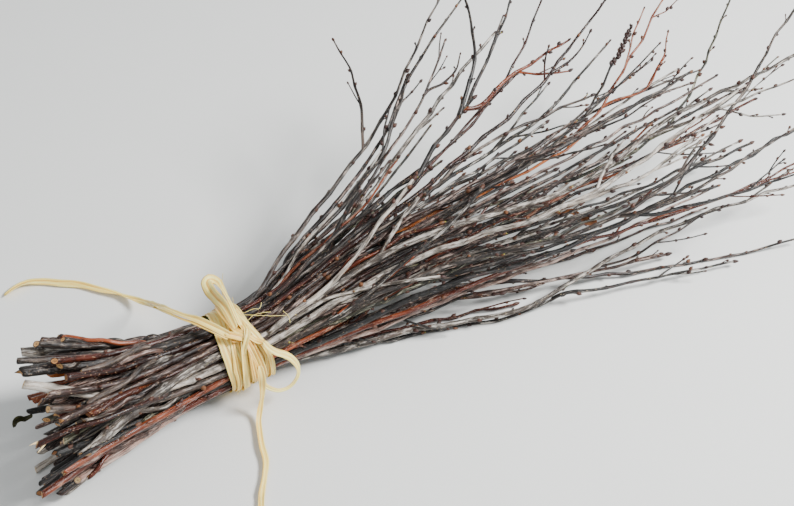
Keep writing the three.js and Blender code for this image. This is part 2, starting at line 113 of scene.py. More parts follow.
def smoothLine(points, gap):
    # a smooth curve through the points, as points about a gap apart
    points = np.asarray(points, float)
    at = steps(points)
    slope = np.gradient(points, at, axis=0)
    count = max(4, int(round(at[-1] / gap)) + 1)
    where = np.linspace(0, at[-1], count)
    span = np.clip(np.searchsorted(at, where, side="right") - 1, 0, len(at) - 2)
    size = (at[span + 1] - at[span])[:, None]
    t = ((where - at[span])[:, None]) / size
    a, b = points[span], points[span + 1]
    da, db = slope[span] * size, slope[span + 1] * size
    curve = (
        a * (2 * t**3 - 3 * t**2 + 1)
        + da * (t**3 - 2 * t**2 + t)
        + b * (3 * t**2 - 2 * t**3)
        + db * (t**3 - t**2)
    )
    return curve


def unit(vectors):
    return vectors / np.maximum(np.linalg.norm(vectors, axis=-1, keepdims=True), 1e-9)


def framesAlong(points):
    # tangent, sideways and upward directions at each point of a line that is never vertical
    along = unit(np.gradient(points, axis=0))
    side = unit(np.cross(np.array([0.0, 0.0, 1.0]), along))
    up = np.cross(along, side)
    return along, side, up


def newPiece(name, vertices, faces, materials=(), slots=None):
    mesh = bpy.data.meshes.new(name)
    mesh.from_pydata([tuple(v) for v in vertices], [], faces)
    for material in materials:
        mesh.materials.append(material)
    if slots is not None:
        mesh.polygons.foreach_set("material_index", np.asarray(slots, np.int32))
    mesh.polygons.foreach_set("use_smooth", np.full(len(mesh.polygons), True))
    mesh.update()
    piece = bpy.data.objects.new(name, mesh)
    bpy.context.scene.collection.objects.link(piece)
    return piece


def addAttribute(piece, name, values, kind="FLOAT_VECTOR"):
    field = "value" if kind == "FLOAT" else "vector"
    layer = piece.data.attributes.new(name, kind, "POINT")
    layer.data.foreach_set(field, np.asarray(values, np.float32).ravel())


# raffia
raffia = {
    "width": 4.0,
    "thickness": 0.35,
    "step": 1.6,
    "samples": 9,  # points across a strand
    "curl": 0.22,  # how far its edges roll up
    "folds": ((6.5, 4, 0.16), (13, 6, 0.07)),  # waves across it, how they drift, and their height
    "unevenEvery": 11.0,  # its width and curl change over about this length
    "uneven": (0.14, 0.06),  # how much narrower or wider it gets
    "endTaper": 1.2,
    "endWidth": 0.45,
}


def strip(line, facing, seed, width=None, widths=None, curl=None, ragged=1.0):
    # a flat strip of raffia along a line of points in metres; facing is the way its flat side looks
    rng = np.random.default_rng(seed)
    line = np.asarray(line, float)
    count = len(line)
    at = steps(line)
    along = unit(np.gradient(line, axis=0))
    side = unit(np.cross(facing, along))
    flat = np.cross(along, side)
    wide = (width or raffia["width"]) * mm * np.ones(count)
    if widths is not None:
        wide = wide * np.interp(at / at[-1], np.linspace(0, 1, len(widths)), widths)
    knots = np.linspace(0, at[-1], max(3, int(at[-1] / (raffia["unevenEvery"] * mm))))
    narrower, wider = raffia["uneven"]
    uneven = rng.uniform(1 - narrower * ragged, 1 + wider * ragged, len(knots))
    wide = wide * np.interp(at, knots, uneven)
    ends = np.minimum(at, at[-1] - at) / (raffia["endTaper"] * mm) + raffia["endWidth"]
    half = (wide * np.clip(ends, 0, 1))[:, None] / 2
    samples = raffia["samples"]
    u = np.linspace(-1, 1, samples)[None]
    phase = rng.uniform(0, 6.28, 3)
    drift = np.interp(at, knots, rng.uniform(-0.4, 0.4, len(knots)))[:, None]
    cup = np.interp(at, knots, rng.uniform(0.3, 1.6, len(knots)))[:, None]
    cup = cup * (raffia["curl"] if curl is None else curl)
    rise = 0.0
    for (waves, slide, high), start in zip(raffia["folds"], phase):
        rise = rise + np.cos(u * waves + start + drift * slide) * high * mm
    folds = rise - rise.mean()
    rise = rise + cup * ((u - drift) ** 2) * half
    edge = np.sqrt(np.clip(1 - u**2, 0, 1)) * 0.8 + 0.2  # thinner towards its edges
    thick = raffia["thickness"] * mm * edge / 2
    middle = line[:, None, :] + side[:, None, :] * (u * half)[..., None]
    upper = middle + flat[:, None, :] * (rise + thick)[..., None]
    lower = middle + flat[:, None, :] * (rise - thick)[..., None]
    vertices = np.concatenate((upper, lower[:, ::-1]), axis=1)
    vertices[..., 2] = np.maximum(vertices[..., 2], 0.1 * mm)  # nothing below the table
    around = 2 * samples
    faces = []
    for i in range(count - 1):
        for j in range(around):
            k = (j + 1) % around
            faces.append((i * around + j, (i + 1) * around + j, (i + 1) * around + k, i * around + k))
    last = (count - 1) * around
    for j in range(samples - 1):
        k = around - 1 - j
        faces.append((j, j + 1, k - 1, k))
        faces.append((last + j, last + k, last + k - 1, last + j + 1))
    across = np.concatenate((u[0], u[0, ::-1]))[None] * half
    length = np.repeat(at[:, None], around, axis=1) + rng.uniform(0, 5)
    # the height of the folds across the strip, which the straw's colour turns into painted shade in
    # their hollows and painted highlight on their ridges
    paintedFoldShade = np.concatenate((folds, folds[:, ::-1]), axis=1)
    space = np.stack((length, across + rng.uniform(0, 1), paintedFoldShade), axis=-1)
    return {
        "vertices": vertices.reshape(-1, 3), "faces": faces, "space": space.reshape(-1, 3),
        "age": rng.uniform(0, 1),
    }


def raffiaPiece(name, strips, nodes=()):
    # one or more strips as one piece, in place of the nodes given
    faces, start = [], 0
    for one in strips:
        faces += [tuple(i + start for i in face) for face in one["faces"]]
        start += len(one["vertices"])
    piece = newPiece(name, np.concatenate([one["vertices"] for one in strips]), faces)
    addAttribute(piece, "strandSpace", np.concatenate([one["space"] for one in strips]))
    ages = [np.full(len(one["vertices"]), one["age"]) for one in strips]
    addAttribute(piece, "strandAge", np.concatenate(ages), "FLOAT")
    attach(piece, "root")
    if nodes:
        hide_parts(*nodes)
    return piece


def wayLine(way, gap):
    return smoothLine(np.array([place(*spot)[:] for spot in way]), gap * mm)


# the two tails: places from the knot to the bare end, and widths as shares of the raffia's width
tails = {
    "tailLeft": {
        "node": "raffia_tail_left", "seed": 11,
        "way": [
            (-10.1, -12.6, 59.4), (-15.2, -6.6, 62.4), (-21.2, 2.5, 63.5), (-27.3, 15.5, 60),
            (-31.3, 29.5, 53.5), (-32.4, 42.4, 44.2), (-32.5, 53.8, 34.4), (-31.7, 67.1, 22.2),
            (-31.9, 78.5, 12.4), (-34, 88.1, 6.3), (-38, 97, 3), (-43, 105, 2.2), (-51, 114.5, 2.2),
            (-60, 125.5, 2.2), (-72, 135, 2.2), (-82, 143, 2.2), (-90, 147, 2.2), (-99, 147, 2.2),
            (-108, 144, 2.2),
        ],
        "widths": [1.2, 1.2, 1.15, 1.2, 1.25, 1.25, 1.3],
        # a narrow strip that has split off: its share of the length, how far aside, and its width
        "split": {"share": 0.5, "aside": (2.6, 3.1, 1.9), "width": 2.2},
    },
    "tailFront": {
        "node": "raffia_tail_front", "seed": 12,
        "way": [
            (-1.6, -30.7, 43.4), (-1.1, -31.7, 34.8), (-1.2, -31.9, 25.1), (-3, -32.8, 16.3),
            (-4.8, -32.9, 10.1), (-6.9, -34.8, 5.8), (-10, -39, 3), (-13, -46, 2.2),
            (-16.5, -56, 2.2), (-19.5, -67, 2.2), (-25, -76, 2.2), (-31, -84.5, 2.2),
            (-36.5, -93.5, 2.2), (-40.5, -102, 2.2), (-43, -111, 2.2), (-43.5, -120, 2.2),
        ],
        "widths": [1.15, 1.1, 0.95, 1.1, 0.9, 0.95, 1.0],
        "split": None,
    },
}
tailCurl = 0.35
tailTwist = 0.6  # radians either way
tailLies = (2.0, 20.0)  # it lies flat at this height, and not at all so much higher


def addTail(name, tail):
    line = wayLine(tail["way"], raffia["step"])
    at = steps(line)
    lift = np.array([[0.0, 0.0, 1.0]])
    outward = unit((line - np.array(place(0, 0, tie["height"])[:])) * np.array([0, 1, 1]))
    onTable = np.clip(1 - (line[:, 2] - tailLies[0] * mm) / (tailLies[1] * mm), 0, 1)[:, None]
    facing = unit(outward * (1 - onTable) + lift * onTable)
    twists = np.random.default_rng(tail["seed"]).uniform(-tailTwist, tailTwist, 9)
    turn = np.interp(at, np.linspace(0, at[-1], 9), twists)
    sideways = np.cross(unit(np.gradient(line, axis=0)), facing)
    turned = facing * np.cos(turn)[:, None] + sideways * np.sin(turn)[:, None]
    strips = [strip(line, turned, tail["seed"], widths=tail["widths"], curl=tailCurl)]
    split = tail["split"]
    if split:
        count = int(len(line) * split["share"])
        aside = np.interp(np.arange(count), (0, count * 0.3, count), split["aside"])[:, None] * mm
        beside = line[:count] - sideways[:count] * aside
        strips.append(strip(beside, facing[:count], tail["seed"] + 7, width=split["width"]))
    piece = raffiaPiece(name, strips, [tail["node"]])
    return piece


tailPieces = [addTail(name, tail) for name, tail in tails.items()]
print("camera and cords")


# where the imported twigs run
reading = {
    "touching": 4.4,  # corners of one ring are nearer than this
    "crown": 113.0,  # beyond here the prongs of the inner twigs are apart
    "sheafRing": 14,  # a row of the sheaf has at least so many corners
}


def corners(node):
    mesh = frame["nodes"][node].data
    spots = np.array([v.co[:] for v in mesh.vertices])
    keys = np.round(spots, 5)
    unique, index = np.unique(keys, axis=0, return_inverse=True)
    index = np.asarray(index).ravel()
    edges = {tuple(sorted((index[a], index[b]))) for a, b in mesh.edge_keys}
    return unique, edges


def groups(count, links):
    parent = list(range(count))

    def top(i):
        while parent[i] != i:
            parent[i] = parent[parent[i]]
            i = parent[i]
        return i

    for a, b in links:
        parent[top(a)] = top(b)
    found = {}
    for i in range(count):
        found.setdefault(top(i), []).append(i)
    return list(found.values())


def ringsOf(spots):
    # centres and radii of a tube's rings, from its thick end to its tip
    gaps = np.linalg.norm(spots[:, None] - spots[None], axis=2)
    links = np.argwhere((gaps < reading["touching"] * mm) & (gaps > 0))
    found = []
    for group in groups(len(spots), links):
        if len(group) < 3:
            continue
        middle = spots[group].mean(0)
        found.append((middle, np.linalg.norm(spots[group] - middle, axis=1).max()))
    order = [min(range(len(found)), key=lambda i: found[i][0][0])]
    while len(order) < len(found):
        rest = [i for i in range(len(found)) if i not in order]
        here = found[order[-1]][0]
        order.append(min(rest, key=lambda i: np.linalg.norm(found[i][0] - here)))
    if found[order[0]][1] < found[order[-1]][1]:
        order.reverse()
    return np.array([found[i][0] for i in order]), np.array([found[i][1] for i in order])


def readSheaf():
    # rows of (x, y, z, radius) down the middle of the inner twigs, and the prongs beyond them
    spots, edges = corners("inner_twigs")
    crownX = place(reading["crown"], 0, 0).x
    rows = []
    near = spots[spots[:, 0] < crownX]
    for x in np.unique(np.round(near[:, 0], 4)):
        row = near[np.abs(near[:, 0] - x) < 6e-5]
        if len(row) < reading["sheafRing"]:
            continue
        middle = row.mean(0)
        rows.append((x, middle[1], middle[2], np.linalg.norm(row - middle, axis=1).max()))
    far = [i for i, spot in enumerate(spots) if spot[0] >= crownX]
    number = {i: k for k, i in enumerate(far)}
    links = [(number[a], number[b]) for a, b in edges if a in number and b in number]
    prongs = [ringsOf(spots[far][group]) for group in groups(len(far), links) if len(group) > 6]
    return np.array(rows), prongs


twigNodes = sorted(name for name in frame["nodes"] if name.startswith("twig_"))
forkNodes = sorted(name for name in frame["nodes"] if name.startswith("fork_"))
slotOf = {part["node"]: part["material_slot"] for part in frame["record"]["subparts"]}
tubes = {name: ringsOf(corners(name)[0]) for name in twigNodes + forkNodes}
sheafRows, prongTubes = readSheaf()
print("read", len(tubes), "twigs,", len(sheafRows), "rows and", len(prongTubes), "prongs")


# materials
def addNode(tree, kind, inputs, **settings):
    # a new node with its settings, each input linked or filled in
    node = tree.nodes.new(kind)
    for key, value in settings.items():
        setattr(node, key, value)
    for key, value in inputs.items():
        socket = node.inputs[key]
        if isinstance(value, bpy.types.NodeSocket):
            tree.links.new(value, socket)
        elif isinstance(value, tuple) and len(value) == 3 and len(socket.default_value) == 4:
            socket.default_value = (*value, 1.0)
        else:
            socket.default_value = value
    return node


class Wiring:
    # short words for the nodes that every finish is made of
    def __init__(self, tree):
        self.tree = tree

    def add(self, kind, inputs, output=0, **settings):
        return addNode(self.tree, kind, inputs, **settings).outputs[output]

    def link(self, value, socket):
        self.tree.links.new(value, socket)

    def attribute(self, name, output="Vector"):
        return self.add("ShaderNodeAttribute", {}, output, attribute_name=name)

    def part(self, vector, axis):
        return self.add("ShaderNodeSeparateXYZ", {0: vector}, axis)

    def scaled(self, vector, scale):
        return self.add("ShaderNodeVectorMath", {0: vector, 1: scale}, operation="MULTIPLY")

    def math(self, operation, *values):
        return self.add("ShaderNodeMath", dict(enumerate(values)), operation=operation)

    def grain(self, vector, detail=3.0, roughness=0.6, distortion=0.0):
        return self.add("ShaderNodeTexNoise", {
            "Vector": vector, "Scale": 1.0, "Detail": detail, "Roughness": roughness,
            "Distortion": distortion,
        })

    def cells(self, vector, feature="F1"):
        inputs = {"Vector": vector, "Scale": 1.0}
        return self.add("ShaderNodeTexVoronoi", inputs, "Distance", feature=feature)

    def between(self, *values):
        # value, low, high, and what it becomes there, which is 0 and 1 if not given
        return self.add("ShaderNodeMapRange", dict(enumerate(values)), interpolation_type="SMOOTHSTEP")

    def mix(self, share, a, b):
        return self.add("ShaderNodeMix", {"Factor": share, 6: a, 7: b}, 2, data_type="RGBA")

    def ramp(self, value, stops):
        colour = self.add("ShaderNodeValToRGB", {0: value})
        ramp = colour.node.color_ramp
        while len(ramp.elements) < len(stops):
            ramp.elements.new(0.5)
        for element, (at, shown) in zip(ramp.elements, stops):
            element.position = at
            element.color = (*shown, 1)
        return colour

    def bump(self, height, distance, strength):
        inputs = {"Height": height, "Distance": distance, "Strength": strength}
        return self.add("ShaderNodeBump", inputs)


def newMaterial(name, roughness=0.6, specular=0.5):
    material = bpy.data.materials.new(name)
    material.use_nodes = True
    tree = material.node_tree
    tree.nodes.clear()
    output = tree.nodes.new("ShaderNodeOutputMaterial")
    shader = tree.nodes.new("ShaderNodeBsdfPrincipled")
    shader.inputs["Roughness"].default_value = roughness
    shader.inputs["Specular IOR Level"].default_value = specular
    tree.links.new(shader.outputs[0], output.inputs[0])
    return material, Wiring(tree), shader


def rgb(red, green, blue):
    # a colour as seen on a screen, 0 to 255, as the shader wants it
    parts = []
    for value in (red, green, blue):
        value /= 255
        parts.append(value / 12.92 if value <= 0.04045 else ((value + 0.055) / 1.055) ** 2.4)
    return tuple(parts)


barks = {
    "grey_bark": {
        "deep": rgb(17, 12, 9), "mid": rgb(70, 60, 52), "pale": rgb(174, 161, 146),
        "film": rgb(200, 193, 183), "filmShare": 0.41, "gloss": 0.42, "pores": rgb(196, 176, 146),
        "ridge": 1.0, "lichen": 0.5,
    },
    "mauve_bark": {
        "deep": rgb(17, 9, 6), "mid": rgb(62, 40, 32), "pale": rgb(156, 121, 108),
        "film": rgb(190, 168, 156), "filmShare": 0.36, "gloss": 0.34, "pores": rgb(200, 172, 142),
        "ridge": 0.7, "lichen": 0.1,
    },
    "dark_bark": {
        "deep": rgb(6, 4, 3), "mid": rgb(28, 21, 17), "pale": rgb(92, 76, 66),
        "film": rgb(152, 140, 129), "filmShare": 0.28, "gloss": 0.36, "pores": rgb(154, 132, 107),
        "ridge": 1.0, "lichen": 0.25,
    },
    "red_bark": {
        "deep": rgb(24, 7, 3), "mid": rgb(74, 27, 13), "pale": rgb(138, 68, 38),
        "film": rgb(172, 136, 113), "filmShare": 0.2, "gloss": 0.24, "pores": rgb(202, 162, 128),
        "ridge": 0.5, "lichen": 0.0,
    },
    "orange_bark": {
        "deep": rgb(54, 18, 5), "mid": rgb(120, 50, 15), "pale": rgb(190, 104, 42),
        "film": rgb(186, 150, 114), "filmShare": 0.18, "gloss": 0.24, "pores": rgb(216, 172, 126),
        "ridge": 0.5, "lichen": 0.0,
    },
    "green_bark": {
        "deep": rgb(22, 20, 12), "mid": rgb(66, 62, 44), "pale": rgb(150, 145, 114),
        "film": rgb(186, 184, 160), "filmShare": 0.39, "gloss": 0.42, "pores": rgb(188, 176, 136),
        "ridge": 0.8, "lichen": 0.7,
    },
}
lichen = {"pale": rgb(150, 152, 120), "yellow": rgb(140, 134, 66)}
# how fine each pattern of the bark is, along a twig and across it
barkGrain = {
    "streaks": (40, 1100), "patches": (30, 150), "fine": (900, 2600), "under": (24, 210),
    "film": (90, 620), "crust": (160, 300), "crustKind": (50, 90), "pores": (420, 900),
    "poreArea": (60, 240), "cracks": (60, 700), "crackArea": (28, 120),
}


def barkMaterial(name, look):
    material, w, shader = newMaterial(name, specular=0.38)
    space = w.attribute("barkSpace")
    tint = w.attribute("barkTint")
    shade, share, joint = (w.part(tint, axis) for axis in range(3))
    drawn = {}
    for key, (lengthways, across) in barkGrain.items():
        drawn[key] = w.scaled(space, (lengthways, across, across))
    streaks = w.grain(drawn["streaks"], 4, 0.7)
    patches = w.grain(drawn["patches"], 4, 0.65, 0.5)
    fine = w.grain(drawn["fine"], 3, 0.7)
    body = w.math("MULTIPLY_ADD", streaks, 0.8, w.math("MULTIPLY", patches, 0.76))
    body = w.math("MULTIPLY_ADD", fine, 0.22, body)
    body = w.math("ADD", body, w.math("MULTIPLY_ADD", shade, 0.54, -0.66))
    body = w.math("MULTIPLY_ADD", share, -0.07, body)
    colour = w.ramp(body, [
        (0.28, look["deep"]), (0.46, look["mid"]), (0.58, look["mid"]), (0.80, look["pale"]),
    ])
    # the young bark below
    under = w.between(w.grain(drawn["under"], 3), 0.58, 0.66, 0.0, 0.4)
    colour = w.mix(w.math("MULTIPLY", under, 0.8), colour, barks["red_bark"]["mid"])
    # the thin pale skin
    film = w.grain(drawn["film"], 6, 0.75, 0.4)
    film = w.math("MULTIPLY_ADD", shade, 0.10, film)
    film = w.math("MULTIPLY_ADD", patches, 0.25, film)
    film = w.math("MULTIPLY_ADD", share, 0.03, film)
    filmLow = 0.86 - look["filmShare"] * 0.45
    film = w.between(film, filmLow, filmLow + 0.12, 0.0, 0.92)
    colour = w.mix(film, colour, look["film"])
    # lichen
    crustLow = 0.72 - look["lichen"] * 0.14
    crust = w.between(w.grain(drawn["crust"], 5, 0.8), crustLow, crustLow + 0.04, 0.0, 0.85)
    kind = w.between(w.grain(drawn["crustKind"], 1), 0.52, 0.6)
    crustColour = w.mix(kind, lichen["pale"], lichen["yellow"])
    colour = w.mix(w.math("MULTIPLY", crust, min(1.0, 2 * look["lichen"])), colour, crustColour)
    # pores in patches, fine cracks, and darker joints
    some = w.between(w.grain(drawn["poreArea"], 1), 0.44, 0.56)
    pores = w.math("MULTIPLY", w.between(w.cells(drawn["pores"]), 0.14, 0.28, 1.0, 0.0), some)
    colour = w.mix(w.math("MULTIPLY", pores, 0.6), colour, look["pores"])
    cracks = w.between(w.cells(drawn["cracks"], "DISTANCE_TO_EDGE"), 0.0, 0.09, 1.0, 0.0)
    cracks = w.math("MULTIPLY", cracks, w.between(w.grain(drawn["crackArea"], 2), 0.46, 0.6))
    colour = w.mix(w.math("MULTIPLY", cracks, 0.7), colour, look["deep"])
    colour = w.mix(w.math("MULTIPLY", joint, 0.6), colour, look["deep"])
    w.link(colour, shader.inputs["Base Color"])
    rough = w.math("MULTIPLY_ADD", patches, 0.34, look["gloss"] - 0.16)
    rough = w.math("MULTIPLY_ADD", film, 0.15, rough)
    w.link(rough, shader.inputs["Roughness"])
    height = w.math("MULTIPLY_ADD", streaks, 0.9 * look["ridge"], w.math("MULTIPLY", fine, 0.35))
    for pattern, high in ((pores, 0.35), (cracks, -0.8), (crust, 0.4)):
        height = w.math("MULTIPLY_ADD", pattern, high, height)
    w.link(w.bump(height, 0.45 * mm, 0.9), shader.inputs["Normal"])
    return material


def woodMaterial():
    material, w, shader = newMaterial("cutWood", 0.7, 0.3)
    space = w.attribute("barkSpace")
    tint = w.part(w.attribute("barkTint"), 0)
    flat = w.scaled(space, (0, 1, 1))
    outward = w.add("ShaderNodeVectorMath", {0: flat}, "Value", operation="LENGTH")
    uneven = w.grain(w.scaled(space, (0, 500, 500)), 2)
    wobble = w.math("MULTIPLY_ADD", uneven, 0.0009, outward)
    rings = w.math("SINE", w.math("MULTIPLY", wobble, 9000))
    fibre = w.grain(w.scaled(space, (160, 2600, 2600)), 3, 0.7)
    body = w.math("MULTIPLY_ADD", rings, 0.12, w.math("MULTIPLY", fibre, 0.7))
    body = w.math("ADD", body, w.math("MULTIPLY_ADD", tint, 0.5, -0.2))
    colour = w.ramp(body, [
        (0.2, rgb(120, 74, 40)), (0.42, rgb(188, 138, 84)), (0.62, rgb(222, 186, 130)),
        (0.85, rgb(238, 220, 178)),
    ])
    pith = w.between(outward, 0.0003, 0.0006, 1.0, 0.0)
    colour = w.mix(w.math("MULTIPLY", pith, 0.7), colour, rgb(96, 62, 40))
    w.link(colour, shader.inputs["Base Color"])
    w.link(w.bump(body, 0.3 * mm, 0.7), shader.inputs["Normal"])
    return material


def budMaterial():
    material, w, shader = newMaterial("budScales", 0.45, 0.4)
    space = w.attribute("budSpace")
    tint = w.part(w.attribute("budTint"), 0)
    high = w.part(space, 2)
    scales = w.cells(w.scaled(space, (5.5, 5.5, 4.2)), "DISTANCE_TO_EDGE")
    edge = w.between(scales, 0.0, 0.12, 1.0, 0.0)
    mottle = w.grain(w.scaled(space, (7, 7, 7)), 3)
    body = w.math("MULTIPLY_ADD", mottle, 0.6, w.math("MULTIPLY", tint, 0.5))
    colour = w.ramp(body, [
        (0.2, rgb(22, 10, 7)), (0.5, rgb(54, 25, 16)), (0.74, rgb(84, 48, 30)),
        (0.95, rgb(150, 100, 52)),
    ])
    colour = w.mix(w.math("MULTIPLY", edge, 0.55), colour, rgb(24, 15, 14))
    fresh = w.math("MULTIPLY", w.between(high, 0.7, 1.0), w.between(tint, 0.93, 0.97))
    colour = w.mix(fresh, colour, rgb(176, 176, 70))
    w.link(colour, shader.inputs["Base Color"])
    w.link(w.bump(scales, 0.25 * mm, 0.6), shader.inputs["Normal"])
    return material


straw = {
    "shadow": rgb(136, 88, 24), "gold": rgb(222, 170, 74), "mid": rgb(250, 207, 106),
    "pale": rgb(255, 237, 150), "tan": rgb(192, 134, 54),
}


def raffiaMaterial():
    material, w, shader = newMaterial("raffiaStraw", 0.42, 0.5)
    space = w.attribute("strandSpace")
    age = w.attribute("strandAge", "Fac")
    fibres = w.grain(w.scaled(space, (22, 3600, 0)), 3, 0.7)
    bands = w.grain(w.scaled(space, (9, 1000, 0)), 2, 0.6)
    blotch = w.grain(w.scaled(space, (60, 240, 0)), 3, 0.6)
    paintedFoldShade = w.math("MULTIPLY", w.part(space, 2), 800.0)  # painted shade and highlight: darker in the hollows of the folds, paler on their ridges
    body = w.math("MULTIPLY_ADD", fibres, 0.54, w.math("MULTIPLY", bands, 0.62))
    body = w.math("ADD", body, paintedFoldShade)
    body = w.math("MULTIPLY_ADD", age, -0.2, w.math("ADD", body, 0.02))
    colour = w.ramp(body, [
        (0.18, straw["shadow"]), (0.34, straw["gold"]), (0.50, straw["mid"]), (0.68, straw["pale"]),
    ])
    colour = w.mix(w.between(blotch, 0.60, 0.74, 0.0, 0.4), colour, straw["tan"])
    w.link(colour, shader.inputs["Base Color"])
    shader.inputs["Subsurface Weight"].default_value = 0.3
    shader.inputs["Subsurface Radius"].default_value = (1.0, 0.6, 0.25)
    shader.inputs["Subsurface Scale"].default_value = 1.5 * mm
    height = w.math("MULTIPLY_ADD", fibres, 0.6, w.math("MULTIPLY", bands, 0.8))
    w.link(w.bump(height, 0.35 * mm, 0.8), shader.inputs["Normal"])
    return material


barkMaterials = {}
for name, look in barks.items():
    barkMaterials[name] = barkMaterial(name.replace("_bark", "Bark"), look)
cutWood = woodMaterial()
budScales = budMaterial()
raffiaStraw = raffiaMaterial()
for piece in tailPieces:
    piece.data.materials.append(raffiaStraw)
print("materials")


# growing a twig
growth = {
    "step": 2.4,  # length of one ring of faces
    "sides": 10,
    "firstJoint": (6, 20),
    "jointGap": (14, 30),  # from one bud to the next
    "kink": 0.95,  # a twig bends this far aside at a bud
    "wander": 1.3,
    "wanderEvery": 48,
    "lump": 0.055,  # how much its thickness changes, as a share of it
    "lumpEvery": 6,
    "swelling": 0.14,  # at a joint
    "swellingLength": 1.7,
    "lobes": ((2, 0.045), (3, 0.05), (5, 0.03)),  # bulges round a twig, and their height
    "budSeat": 0.34,  # the bump under a bud
    "budSeatLength": 1.9,
    "rough": 0.022,
    "cutSlant": (0.1, 1.3),  # slope of a cut end
    "snapSlant": (-0.9, 1.5),  # of each fibre of a torn end
    "calm": (-20.5, 12.5),  # twigs run straight here, under the raffia
    "calmFade": 40,
}
budPoints = []  # each is where, which way, how long, how wide and tint
spurPoints = []
scarPoints = []
tieX = place(0, 0, 0).x


def calmNear(x):
    # 0 under the raffia, 1 well away from it
    fromTie = (np.asarray(x) - tieX) / mm
    away = np.maximum(growth["calm"][0] - fromTie, fromTie - growth["calm"][1])
    return np.clip(away / growth["calmFade"], 0.05, 1)


def jointsOf(length, rng, gap):
    places = []
    at = rng.uniform(*growth["firstJoint"]) * mm
    while at < length - 4 * mm:
        places.append(at)
        late = at / length
        at += rng.uniform(*gap) * mm * (1.2 - 0.45 * late)
    return np.array(places)


